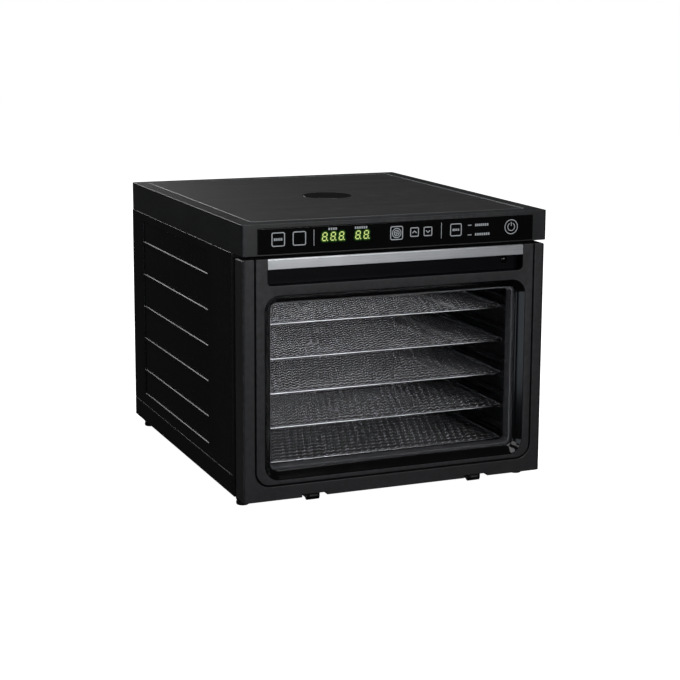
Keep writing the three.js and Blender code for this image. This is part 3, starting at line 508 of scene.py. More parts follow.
class Bench:
    """Makes pieces, dresses them and ties them to the frame."""

    def __init__(self) -> None:
        """Opens the palette."""
        self.palette = Palette()
        self.nodes: dict[str, bpy.types.Object] = frame["nodes"]

    @staticmethod
    def add_object(name: str, mesh: bpy.types.Mesh) -> bpy.types.Object:
        """Links a mesh into the scene as an object at the origin."""
        made = bpy.data.objects.new(name, mesh)
        bpy.context.scene.collection.objects.link(made)
        return made

    @staticmethod
    def applied(host: bpy.types.Object, name: str) -> bpy.types.Mesh:
        """Turns an object with its modifiers into a plain mesh, and removes the object.

        Args:
            host: The object to evaluate.
            name: The new mesh's name.

        Returns:
            The plain mesh.
        """
        graph = bpy.context.evaluated_depsgraph_get()
        mesh = bpy.data.meshes.new_from_object(
            host.evaluated_get(graph), preserve_all_data_layers=True, depsgraph=graph)
        mesh.name = name
        source = host.data
        bpy.data.objects.remove(host)
        if source.users == 0 and isinstance(source, bpy.types.Mesh):
            bpy.data.meshes.remove(source)
        return mesh

    def finish_piece(self, name: str, mesh: bpy.types.Mesh, finish: Finish, slot: str, body: str,
                     stands_for: Sequence[str] = ()) -> bpy.types.Object:
        """Dresses a mesh and ties it to the frame.

        Args:
            name: The piece's name.
            mesh: Its final mesh, in place.
            finish: Its finish.
            slot: Not used.
            body: The body it rides on.
            stands_for: CAD nodes that it is shown instead of.

        Returns:
            The finished piece.
        """
        mesh.materials.clear()
        mesh.materials.append(self.palette.material(finish))
        piece = self.add_object(name, mesh)
        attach(piece, body)
        if stands_for:
            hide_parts(*stands_for)
        log.info("%s: %d faces, on %s", name, len(mesh.polygons), body)
        return piece

    def paint_node(self, name: str, finish: Finish) -> None:
        """Gives a CAD node that is shown as it is a better material."""
        materials = self.nodes[name].data.materials
        materials.clear()
        materials.append(self.palette.material(finish))
        log.info("%s: painted with %s", name, finish.title)

    def eased_copy(self, node: str, width: float, segments: int = 2,
                   cuts: Sequence[tuple[int, float]] = ()) -> bpy.types.Mesh:
        """Copies a CAD node's mesh and rounds its sharp edges.

        Args:
            node: The CAD node.
            width: The rounding's width in millimetres.
            segments: Steps across the rounding.
            cuts: Axis numbers and places in millimetres where faces with holes are parted,
                besides the middle.

        Returns:
            The rounded mesh.
        """
        mesh = self.nodes[node].data.copy()
        shape = bmesh.new()
        shape.from_mesh(mesh)
        bmesh.ops.remove_doubles(shape, verts=shape.verts, dist=MERGE_WITHIN)
        for axis, place in ((0, 0.0), *cuts):
            side = Vector((0.0, 0.0, 0.0))
            side[axis] = 1.0
            everything = [*shape.verts, *shape.edges, *shape.faces]
            parted = bmesh.ops.bisect_plane(
                shape, geom=everything, dist=1e-6, plane_co=side * place * MM, plane_no=side)
            for part in parted["geom_cut"]:
                if isinstance(part, bmesh.types.BMEdge):
                    part.seam = True
        bmesh.ops.dissolve_limit(
            shape, angle_limit=FLAT_WITHIN, verts=shape.verts, edges=shape.edges, delimit={"SEAM"})
        for face in shape.faces:
            face.smooth = True
        for edge in shape.edges:
            edge.seam = False
        shape.to_mesh(mesh)
        shape.free()
        host = self.add_object(node + "_blank", mesh)
        rounding = host.modifiers.new("ease", "BEVEL")
        rounding.width = width * MM
        rounding.segments = segments
        rounding.limit_method = "ANGLE"
        rounding.angle_limit = SHARP_ABOVE
        rounding.use_clamp_overlap = False
        eased = self.applied(host, node + "_eased")
        self.settle_normals(eased)
        return eased

    @staticmethod
    def settle_normals(mesh: bpy.types.Mesh) -> None:
        """Lets the largest faces at each vertex decide its normal, so that flat faces shade flat."""
        sums = [Vector((0.0, 0.0, 0.0)) for _ in mesh.vertices]
        for face in mesh.polygons:
            pull = face.normal * face.area ** 2 * 1e6
            for vert in face.vertices:
                sums[vert] += pull
        mesh.normals_split_custom_set_from_vertices([total.normalized() for total in sums])

    def ease_node(self, node: str, width: float, finish: Finish, slot: str, body: str, name: str = "",
                  segments: int = 2, cuts: Sequence[tuple[int, float]] = ()) -> bpy.types.Object:
        """Shows a rounded copy of a CAD node instead of the node."""
        mesh = self.eased_copy(node, width, segments, cuts)
        return self.finish_piece(name or node + "_shell", mesh, finish, slot, body, (node,))


@dataclass
class GeometryTree:
    """A Geometry Nodes tree with named inputs, baked to a plain mesh."""

    title: str
    sizes: dict[str, float | int | tuple]
    tree: bpy.types.NodeTree = field(init=False)

    def __post_init__(self) -> None:
        """Makes the tree's interface."""
        self.tree = bpy.data.node_groups.new(self.title, "GeometryNodeTree")
        face = self.tree.interface
        face.new_socket("Geometry", in_out="INPUT", socket_type="NodeSocketGeometry")
        face.new_socket("Material", in_out="INPUT", socket_type="NodeSocketMaterial")
        kinds = {int: "NodeSocketInt", float: "NodeSocketFloat", tuple: "NodeSocketVector"}
        for label, value in self.sizes.items():
            face.new_socket(label, in_out="INPUT", socket_type=kinds[type(value)])
        face.new_socket("Geometry", in_out="OUTPUT", socket_type="NodeSocketGeometry")
        self.sheet = NodeSheet(self.tree)
        self.into = self.sheet.add("NodeGroupInput").outputs
        self.out = self.sheet.add("NodeGroupOutput").inputs

    def close(self, shape: bpy.types.NodeSocket, smooth: bool = True) -> None:
        """Ends the tree in Realize Instances and Set Material."""
        real = self.sheet.add("GeometryNodeRealizeInstances", {0: shape}).outputs[0]
        shading = {"Geometry": real, "Shade Smooth": smooth}
        shaded = self.sheet.add("GeometryNodeSetShadeSmooth", shading).outputs[0]
        dressing = {"Geometry": shaded, "Material": self.into["Material"]}
        self.sheet.feed(self.out[0], self.sheet.add("GeometryNodeSetMaterial", dressing).outputs[0])

    def bake(self, name: str, material: bpy.types.Material,
             points: Iterable[Vector] = ()) -> bpy.types.Mesh:
        """Runs the tree on a mesh of loose points and returns the plain mesh.

        Args:
            name: The mesh's name.
            material: The material that the tree sets.
            points: Places that the tree puts things on.

        Returns:
            The plain mesh.
        """
        seed = bpy.data.meshes.new(name + "_seed")
        seed.from_pydata([tuple(p) for p in points], [], [])
        host = Bench.add_object(name + "_host", seed)
        modifier = host.modifiers.new("build", "NODES")
        modifier.node_group = self.tree
        given = {**self.sizes, "Material": material}
        for item in self.tree.interface.items_tree:
            if item.item_type == "SOCKET" and item.in_out == "INPUT" and item.name in given:
                modifier[item.identifier] = given[item.name]
        return Bench.applied(host, name)


def mesh_from(name: str, verts: Sequence[Sequence[float]], faces: Sequence[Sequence[int]],
              smooth: bool = False) -> bpy.types.Mesh:
    """Builds a mesh with its normals pointing out.

    Args:
        name: The mesh's name.
        verts: Vertex places in metres.
        faces: Vertex numbers of each face.
        smooth: Whether the faces shade smoothly.

    Returns:
        The mesh.
    """
    mesh = bpy.data.meshes.new(name)
    mesh.from_pydata([tuple(v) for v in verts], [], [tuple(f) for f in faces])
    shape = bmesh.new()
    shape.from_mesh(mesh)
    bmesh.ops.remove_doubles(shape, verts=shape.verts, dist=1e-7)
    bmesh.ops.recalc_face_normals(shape, faces=shape.faces)
    for face in shape.faces:
        face.smooth = smooth
    shape.to_mesh(mesh)
    shape.free()
    return mesh


def ring_outline(centre: Point, radius: float, steps: int) -> list[Point]:
    """Points round a circle, anticlockwise."""
    turns = [math.tau * i / steps for i in range(steps)]
    return [(centre[0] + radius * math.cos(a), centre[1] + radius * math.sin(a)) for a in turns]


def rounded_outline(half: Point, radius: float, steps: int = 6,
                    centre: Point = (0.0, 0.0)) -> list[Point]:
    """Points round a rectangle with round corners, anticlockwise.

    Args:
        half: Half the width and half the height.
        radius: The corner radius.
        steps: Segments in each corner.
        centre: The rectangle's middle.

    Returns:
        The outline's points.
    """
    points = []
    for quarter, (sx, sz) in enumerate(((1, 1), (-1, 1), (-1, -1), (1, -1))):
        for step in range(steps + 1):
            angle = (quarter + step / steps) * math.pi / 2
            points.append((centre[0] + sx * (half[0] - radius) + radius * math.cos(angle),
                           centre[1] + sz * (half[1] - radius) + radius * math.sin(angle)))
    return points


def loft_rings(name: str, rings: Sequence[Sequence[Sequence[float]]], closed: bool = True,
               caps: bool = False) -> bpy.types.Mesh:
    """Joins rings of equal point count into a skin.

    Args:
        name: The mesh's name.
        rings: Each ring's points, in the same order round.
        closed: Whether the last ring joins the first.
        caps: Whether the first and last rings are filled.

    Returns:
        The mesh.
    """
    count = len(rings[0])
    verts = [point for ring in rings for point in ring]
    faces = []
    for level in range(len(rings) if closed else len(rings) - 1):
        low, high = level * count, (level + 1) % len(rings) * count
        for index in range(count):
            after = (index + 1) % count
            faces.append((low + index, low + after, high + after, high + index))
    if caps:
        faces.append(tuple(range(count)))
        faces.append(tuple(range((len(rings) - 1) * count, len(rings) * count)))
    return mesh_from(name, verts, faces, smooth=True)


class Marks:
    """Thin raised marks on the fascia, drawn in millimetres across and up."""

    rooted = 0.02
    block_share = 0.68

    def __init__(self, face: float, thickness: float) -> None:
        """Starts with nothing drawn.

        Args:
            face: The Y place of the surface under the marks, in metres.
            thickness: How far the marks stand proud, in metres.
        """
        self.front = face - thickness
        self.rear = face + self.rooted * MM
        self.verts: list[tuple[float, float, float]] = []
        self.faces: list[tuple[int, ...]] = []

    def _solid(self, front_faces: Sequence[Sequence[int]], points: Sequence[Point],
               rims: Sequence[Sequence[int]]) -> None:
        """Adds a slab: front faces, the same behind, and a wall round each rim."""
        start, count = len(self.verts), len(points)
        for y in (self.front, self.rear):
            self.verts.extend((x * MM, y, z * MM) for x, z in points)
        for face in front_faces:
            self.faces.append(tuple(start + i for i in face))
            self.faces.append(tuple(start + count + i for i in reversed(face)))
        for rim in rims:
            for index, first in enumerate(rim):
                second = rim[(index + 1) % len(rim)]
                wall = (first, count + first, count + second, second)
                self.faces.append(tuple(start + i for i in wall))

    def patch(self, outline: Sequence[Point]) -> None:
        """Draws a filled outline."""
        order = tuple(range(len(outline)))
        self._solid([order], outline, [order])

    def bar(self, x0: float, x1: float, z0: float, z1: float) -> None:
        """Draws a filled rectangle."""
        self.patch([(x0, z0), (x1, z0), (x1, z1), (x0, z1)])

    def stroke(self, path: Sequence[Point], width: float, closed: bool = False) -> None:
        """Draws a line of even width along a path, with mitred corners."""
        count = len(path)
        left, right = [], []
        for index, point in enumerate(path):
            before = path[index - 1] if closed or index > 0 else point
            after = path[(index + 1) % count] if closed or index < count - 1 else point
            entry = Vector((point[0] - before[0], point[1] - before[1]))
            leave = Vector((after[0] - point[0], after[1] - point[1]))
            entry = entry.normalized() if entry.length > 0 else leave.normalized()
            leave = leave.normalized() if leave.length > 0 else entry
            across = Vector((-(entry.y + leave.y), entry.x + leave.x)).normalized()
            reach = width / 2 / max(0.35, across.dot(Vector((-entry.y, entry.x))))
            left.append((point[0] + across.x * reach, point[1] + across.y * reach))
            right.append((point[0] - across.x * reach, point[1] - across.y * reach))
        spans = range(count if closed else count - 1)
        quads = [(i, (i + 1) % count, count + (i + 1) % count, count + i) for i in spans]
        if closed:
            rims = [tuple(range(count)), tuple(range(2 * count - 1, count - 1, -1))]
        else:
            rims = [tuple(range(count)) + tuple(range(2 * count - 1, count - 1, -1))]
        self._solid(quads, left + right, rims)

    def circle(self, centre: Point, radius: float, width: float, start: float = 0.0, sweep: float = 360.0,
               steps: int = 40) -> None:
        """Draws a ring, or an arc from start over sweep degrees."""
        whole = sweep >= 360.0
        places = range(steps if whole else steps + 1)
        angles = [math.radians(start + sweep * i / steps) for i in places]
        path = [(centre[0] + radius * math.cos(a), centre[1] + radius * math.sin(a)) for a in angles]
        self.stroke(path, width, closed=whole)

    def blocks(self, x0: float, x1: float, z0: float, z1: float, count: int) -> None:
        """Draws a caption as a row of plain blocks."""
        pitch = (x1 - x0) / count
        for index in range(count):
            self.bar(x0 + index * pitch, x0 + (index + self.block_share) * pitch, z0, z1)

    def mesh(self, name: str) -> bpy.types.Mesh:
        """The finished mesh."""
        return mesh_from(name, self.verts, self.faces)


# ------------------------------------------------------------------------------ control housing


@dataclass(frozen=True)
class Caption:
    """A row of plain blocks, placed across the fascia and above or below the marks' middle line."""

    left: float
    right: float
    low: float
    high: float
    blocks: int


@dataclass
class ControlHousing:
    """The housing on top, its plate and the touch fascia with its display. Sizes in millimetres."""

    bench: Bench
    ink_thickness: float = 0.05
    film_thickness: float = 0.01
    border_width: float = 1.3
    border_rise: float = 0.55
    border_corner: float = 1.5
    mark_height: float = 286.3
    keys: Sequence[Point] = ((-135.8, 6.8), (-112.8, 6.8), (-3.8, 6.8), (65.3, 6.3))
    arrows: Sequence[Point] = ((16.8, 1.0), (32.4, -1.0))
    dividers: Sequence[float] = (-96.8, 48.1)
    fan_mark: float = -3.8
    power_mark: float = 131.6
    lamps: Sequence[float] = (4.1, -6.3)
    captions: Sequence[Caption] = (
        Caption(-140.6, -130.8, -1.3, 1.3, 5),
        Caption(61.3, 69.7, -1.2, 1.2, 4),
        Caption(-80.9, -70.6, 6.9, 9.3, 4),
        Caption(-51.3, -36.6, 6.7, 9.1, 6),
        Caption(88.1, 104.6, 2.7, 5.3, 7),
        Caption(88.1, 106.2, -7.4, -4.8, 7),
    )
    stroke_width: float = 0.85
    key_stroke: float = 1.0
    digit_height: float = 8.0
    digit_width: float = 4.5
    digit_bar: float = 0.5
    digit_pitch: float = 9.3
    digit_slant: float = 0.14
    digit_groups: Sequence[tuple[float, int]] = ((-74.8, 3), (-42.3, 2))
    # Reach, grid step, half height and edge fade of the painted glow round the digits.
    glow_reach: float = 2.2
    halo_step: float = 0.4
    halo_half_height: float = 8.0
    halo_fade: float = 1.2

    def build(self) -> None:
        """Makes every piece of the housing."""
        bench, body = self.bench, Body.CABINET.value
        bench.ease_node("top_housing", 0.5, Palette.HOUSING, "satin_plastic", body, "housing_shell", 3)
        bench.ease_node("top_plate", 0.3, Palette.PLATE, "textured_plate", body, "inset_plate")
        bench.ease_node("control_fascia", 0.35, Palette.GLOSS, "gloss_plastic", body, "fascia_panel")
        bench.ease_node("top_badge", 0.3, Palette.GLOSS, "gloss_plastic", body, "round_badge")
        bench.ease_node("housing_base", 0.4, Palette.INNER, "inner_plastic", body)
        for node in ("control_board", "power_board"):
            bench.paint_node(node, Palette.BOARD)
        for node in ("display_temperature", "display_timer"):
            bench.paint_node(node, Palette.LED)
        self.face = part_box("control_fascia")[0].y
        self._border()
        self._print()
        self._display()

    def _border(self) -> None:
        """Lays the narrow raised border that the plate sits in, in a light finish that paints the
        highlight lines along the plate's edges.
        """
        low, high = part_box("top_plate")
        half = ((high.x - low.x) / 2 / MM, (high.y - low.y) / 2 / MM)
        centre = (0.0, (low.y + high.y) / 2 / MM)
        wide, rise = self.border_width, self.border_rise
        rings = []
        for share, height in ((-0.5, 0.0), (-0.4, rise * 0.7), (-0.2, rise),
                              (0.2, rise), (0.4, rise * 0.7), (0.5, 0.0)):
            reach = (half[0] + wide * share, half[1] + wide * share)
            outline = rounded_outline(reach, self.border_corner + wide * share, 4, centre)
            rings.append([(x * MM, y * MM, high.z + height * MM) for x, y in outline])
        mesh = loft_rings("plate_border", rings)
        self.bench.finish_piece("plate_border", mesh, Palette.PAINTED_HIGHLIGHT_BORDER, "textured_plate", Body.CABINET.value)

    def _print(self) -> None:
        """Prints the keys, dividers, captions and icons."""
        marks = Marks(self.face, self.ink_thickness * MM)
        middle, key = self.mark_height, self.key_stroke
        for centre, half in self.keys:
            marks.stroke(rounded_outline((half, half), 1.6, 4, (centre, middle)), key, closed=True)
        for centre, way in self.arrows:
            marks.stroke(rounded_outline((4.5, 4.5), 1.0, 3, (centre, middle)), key, closed=True)
            tip, foot = middle + way * 1.1, middle - way
            marks.stroke([(centre - 2.4, foot), (centre, tip), (centre + 2.4, foot)], key)
        for place in self.dividers:
            marks.bar(place - 0.3, place + 0.3, middle - 8.4, middle + 8.4)
        for caption in self.captions:
            marks.blocks(caption.left, caption.right, middle + caption.low, middle + caption.high,
                         caption.blocks)
        for lamp in self.lamps:
            marks.bar(79.3, 83.9, middle + lamp - 0.4, middle + lamp + 0.4)
        self._fan_icon(marks)
        self._power_icon(marks)
        mesh = marks.mesh("fascia_print")
        self.bench.finish_piece("fascia_print", mesh, Palette.INK, "gloss_plastic", Body.CABINET.value)

    def _fan_icon(self, marks: Marks) -> None:
        """Draws two rings and four swept blades in the fan key."""
        centre, middle, line = self.fan_mark, self.mark_height, self.stroke_width
        for radius in (4.9, 2.9):
            marks.circle((centre, middle), radius, line)
        for blade in range(4):
            root, swept = (math.radians(45 + 90 * blade) + lag for lag in (0.0, 0.5))
            marks.stroke([(centre + reach * math.cos(angle), middle + reach * math.sin(angle))
                          for reach, angle in ((0.4, root), (2.2, swept))], line)

    def _power_icon(self, marks: Marks) -> None:
        """Draws the power key's ring, its broken inner ring and its bar."""
        centre, middle, line = self.power_mark, self.mark_height, self.stroke_width
        marks.circle((centre, middle), 7.6, line, steps=56)
        marks.circle((centre, middle), 4.1, line, start=118, sweep=304, steps=36)
        marks.bar(centre - line / 2, centre + line / 2, middle + 0.9, middle + 5.2)

    def _segments(self, marks: Marks, centre: float) -> None:
        """Draws one figure eight of seven lit segments, with its point."""
        wide, high, bar = self.digit_width / 2, self.digit_height / 2, self.digit_bar
        tip = 0.75
        middle = self.mark_height + 0.3

        def lean(x: float, z: float) -> Point:
            """Leans a point to the right as it rises."""
            return centre + x + self.digit_slant * z, middle + z

        for z in (-high, 0.0, high):
            ends = wide - tip
            outline = [(-ends - bar * 0.6, z), (-ends, z + bar), (ends, z + bar), (ends + bar * 0.6, z),
                       (ends, z - bar), (-ends, z - bar)]
            marks.patch([lean(*p) for p in outline])
        for x in (-wide, wide):
            for z in (-high / 2, high / 2):
                ends = high / 2 - tip
                outline = [(x, z - ends - bar * 0.6), (x + bar, z - ends), (x + bar, z + ends),
                           (x, z + ends + bar * 0.6), (x - bar, z + ends), (x - bar, z - ends)]
                marks.patch([lean(*p) for p in outline])
        beside = centre + wide + 1.35 - self.digit_slant * high
        marks.patch(ring_outline((beside, middle - high), 0.62, 8))

    def _display(self) -> None:
        """Makes the lit digits and the soft painted glow round them."""
        marks = Marks(self.face - self.film_thickness * MM, self.ink_thickness * MM)
        for centre, count in self.digit_groups:
            for index in range(count):
                self._segments(marks, centre + (index - (count - 1) / 2) * self.digit_pitch - 0.8)
        mesh = marks.mesh("display_digits")
        glow = mesh.attributes.new("glow", "FLOAT", "POINT")
        glow.data.foreach_set("value", [1.0] * len(mesh.vertices))
        corners = [vert.co for vert in mesh.vertices]
        nearest = BVHTree.FromPolygons(corners, [face.vertices for face in mesh.polygons])
        self.bench.finish_piece("display_digits", mesh, Palette.DIGITS, "display", Body.CABINET.value)
        for side, (centre, count) in enumerate(self.digit_groups):
            half = (count * self.digit_pitch + 5.0) / 2
            self._halo(f"display_glow_{side + 1}", nearest, centre, half)

    def _halo(self, name: str, lit: BVHTree, centre: float, half: float) -> None:
        """Makes a thin film with a painted glow that fades with the distance from the lit segments."""
        tall, fade = self.halo_half_height, self.halo_fade
        columns, rows = (round(2 * reach / self.halo_step) for reach in (half, tall))
        shape = bmesh.new()
        bmesh.ops.create_grid(shape, x_segments=columns, y_segments=rows, size=1.0)
        levels = []
        for vert in shape.verts:
            x, z = centre + vert.co.x * half, self.mark_height + vert.co.y * tall
            vert.co = Vector((x * MM, self.face - self.film_thickness * MM, z * MM))
            gap = lit.find_nearest(vert.co)[3] / MM
            inside = min(half - abs(x - centre), tall - abs(z - self.mark_height))
            edge = min(1.0, inside / fade)
            levels.append(max(0.0, 1.0 - gap / self.glow_reach) ** 1.6 * edge)
        bmesh.ops.recalc_face_normals(shape, faces=shape.faces)
        mesh = bpy.data.meshes.new(name)
        shape.to_mesh(mesh)
        shape.free()
        glow = mesh.attributes.new("glow", "FLOAT", "POINT")
        glow.data.foreach_set("value", levels)
        host = Bench.add_object(name + "_film", mesh)
        film = host.modifiers.new("film", "SOLIDIFY")
        film.thickness = self.film_thickness * MM
        film.offset = 0.0
        baked = Bench.applied(host, name)
        self.bench.finish_piece(name, baked, Palette.HALO, "display", Body.CABINET.value)


# ------------------------------------------------------------------------------ casing


@dataclass
class Casing:
    """The outer panels, the base and the feet. Places of cuts are in millimetres."""

    bench: Bench
    foot_steps: int = 32
    recess_middle: float = 23.0
    frame_cut: float = 120.0
    cover_cut: float = 95.0
    inlet_cut: float = 140.0

    def build(self) -> None:
        """Makes every outer piece."""
        bench, body = self.bench, Body.CABINET.value
        for side in SIDES:
            bench.ease_node(f"{side}_side_panel", 0.5, Palette.SATIN, "satin_plastic", body,
                            f"side_panel_{side}", 3, [(1, self.recess_middle)])
        bench.ease_node("base_pan", 0.6, Palette.SATIN, "satin_plastic", body, "base_shell")
        # The mouth frame takes the chamber's painted shade.
        bench.ease_node("front_frame", 0.5, Palette.SHADED_CHAMBER, "satin_plastic", body, "mouth_frame",
                        cuts=both_sides(self.frame_cut))
        for node, width, name, cuts in (
            ("rear_panel", 0.4, "back_panel", [(0, self.inlet_cut)]),
            ("rear_cover", 0.8, "motor_cover", both_sides(self.cover_cut)),
            ("power_inlet", 0.3, "inlet_socket", [(0, self.inlet_cut)]),
        ):
            bench.ease_node(node, width, Palette.INNER, "inner_plastic", body, name, cuts=cuts)
        for node in ("catch_plate_left", "catch_plate_right"):
            bench.ease_node(node, 0.15, Palette.ZINC, "zinc_steel", body)
        for end in ("front", "rear"):
            for side in SIDES:
                self._foot(f"foot_{end}_{side}")

    def _foot(self, node: str) -> None:
        """Turns a rubber foot with a rounded tread and a waist."""
        low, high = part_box(node)
        centre = (low + high) / 2
        radius, top = (high.x - low.x) / 2, high.z
        rings = []
        for share, height in ((0.35, 0.12), (0.42, 0.12), (0.46, 0.0), (0.8, 0.0), (0.88, 0.03),
                              (0.93, 0.12), (0.93, 0.3), (0.87, 0.38), (0.87, 0.5), (0.96, 0.6),
                              (1.0, 0.98), (0.97, 1.0)):
            outline = ring_outline((centre.x, centre.y), radius * share, self.foot_steps)
            rings.append([(x, y, height * top) for x, y in outline])
        name = node + "_tread"
        mesh = loft_rings(name, rings, closed=False, caps=True)
        self.bench.finish_piece(name, mesh, Palette.RUBBER, "rubber", Body.CABINET.value, (node,))


# ------------------------------------------------------------------------------ drying chamber


@dataclass
class DryingChamber:
    """The rail walls, liners and the grille behind the trays. Sizes in millimetres."""

    bench: Bench
    grille_cut: float = 130.0

    def build(self) -> None:
        """Makes the chamber's pieces."""
        bench, body = self.bench, Body.CABINET.value
        # The rail walls, liners and grille take the chamber's painted shade.
        for side in SIDES:
            bench.ease_node(f"{side}_rail_wall", 0.4, Palette.SHADED_CHAMBER, "inner_plastic", body,
                            f"rail_wall_{side}")
        for node in ("upper_liner", "lower_liner"):
            bench.ease_node(node, 0.3, Palette.SHADED_CHAMBER, "inner_plastic", body)
        bench.ease_node("rear_grille", 0.3, Palette.SHADED_CHAMBER, "inner_plastic", body, "air_grille",
                        cuts=both_sides(self.grille_cut))


@dataclass
class AirSystem:
    """The fan, motor, heater and their fittings. Sizes in millimetres."""

    bench: Bench
    probe_cut: float = -120.0
    cutout_cut: float = 112.0
    coil_inset: float = 3.2
    coil_turns: int = 110
    coil_steps: int = 8
    coil_radius: float = 2.8
    coil_wire: float = 0.45

    def build(self) -> None:
        """Makes the air system's pieces."""
        bench, body = self.bench, Body.CABINET.value
        bench.ease_node("fan_impeller", 0.25, Palette.INNER, "inner_plastic", Body.FAN.value, "fan_wheel")
        bench.ease_node("motor_shaft", 0.3, Palette.ZINC, "zinc_steel", Body.FAN.value, "fan_shaft")
        for node in ("fan_motor", "motor_bracket", "fan_shroud"):
            bench.ease_node(node, 0.4, Palette.ZINC, "zinc_steel", body)
        bench.ease_node("thermostat_probe", 0.3, Palette.STAINLESS, "stainless", body,
                        cuts=[(0, self.probe_cut)])
        bench.ease_node("thermal_cutout", 0.3, Palette.INNER, "inner_plastic", body,
                        cuts=[(0, self.cutout_cut)])
        self._heater()

    def _heater(self) -> None:
        """Winds the heater wire round its ring."""
        low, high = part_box("heater_ring")
        centre = (low + high) / 2
        sizes = {
            "Ring Radius": (high.x - low.x) / 2 - self.coil_inset * MM,
            "Coil Radius": self.coil_radius * MM,
            "Wire Radius": self.coil_wire * MM,
            "Turns": self.coil_turns,
            "Centre": tuple(centre),
        }
        tree = GeometryTree("Heater Coil", sizes)
        sheet, into = tree.sheet, tree.into
        count = sheet.math("MULTIPLY", into["Turns"], float(self.coil_steps))
        ring = sheet.add("GeometryNodeCurvePrimitiveCircle", {
            "Resolution": count, "Radius": into["Ring Radius"]})
        number = sheet.add("GeometryNodeInputIndex").outputs[0]
        turn = sheet.math("MULTIPLY", number, math.tau / self.coil_steps)
        outward = sheet.vector("NORMALIZE", sheet.add("GeometryNodeInputPosition").outputs[0])
        reach = sheet.math("MULTIPLY", sheet.math("COSINE", turn), into["Coil Radius"])
        swing = sheet.scaled(outward, reach)
        rise = sheet.math("MULTIPLY", sheet.math("SINE", turn), into["Coil Radius"])
        lift = sheet.add("ShaderNodeCombineXYZ", {2: rise}).outputs[0]
        wound = sheet.add("GeometryNodeSetPosition", {
            0: ring.outputs[0], "Offset": sheet.vector("ADD", swing, lift)})
        section = sheet.add("GeometryNodeCurvePrimitiveCircle", {
            "Resolution": 5, "Radius": into["Wire Radius"]})
        wire = sheet.add("GeometryNodeCurveToMesh", {0: wound.outputs[0], 1: section.outputs[0]})
        core_line = sheet.add("GeometryNodeCurvePrimitiveCircle", {
            "Resolution": 64, "Radius": into["Ring Radius"]})
        core_round = sheet.add("GeometryNodeCurvePrimitiveCircle", {
            "Resolution": 10, "Radius": sheet.math("MULTIPLY", into["Coil Radius"], 0.8)})
        core = sheet.add("GeometryNodeCurveToMesh", {
            0: core_line.outputs[0], 1: core_round.outputs[0]})
        both = sheet.add("GeometryNodeJoinGeometry")
        sheet.feed(both.inputs[0], wire.outputs[0])
        sheet.feed(both.inputs[0], core.outputs[0])
        stood = sheet.add("GeometryNodeTransform", {
            "Geometry": both.outputs[0],
            "Translation": into["Centre"],
            "Rotation": (math.pi / 2, 0.0, 0.0),
        })
        tree.close(stood.outputs[0])
        mesh = tree.bake("heater_coil", self.bench.palette.material(Palette.HEATER))
        self.bench.finish_piece("heater_coil", mesh, Palette.HEATER, "heater_steel",
                                Body.CABINET.value, ("heater_ring",))


# ------------------------------------------------------------------------------ door


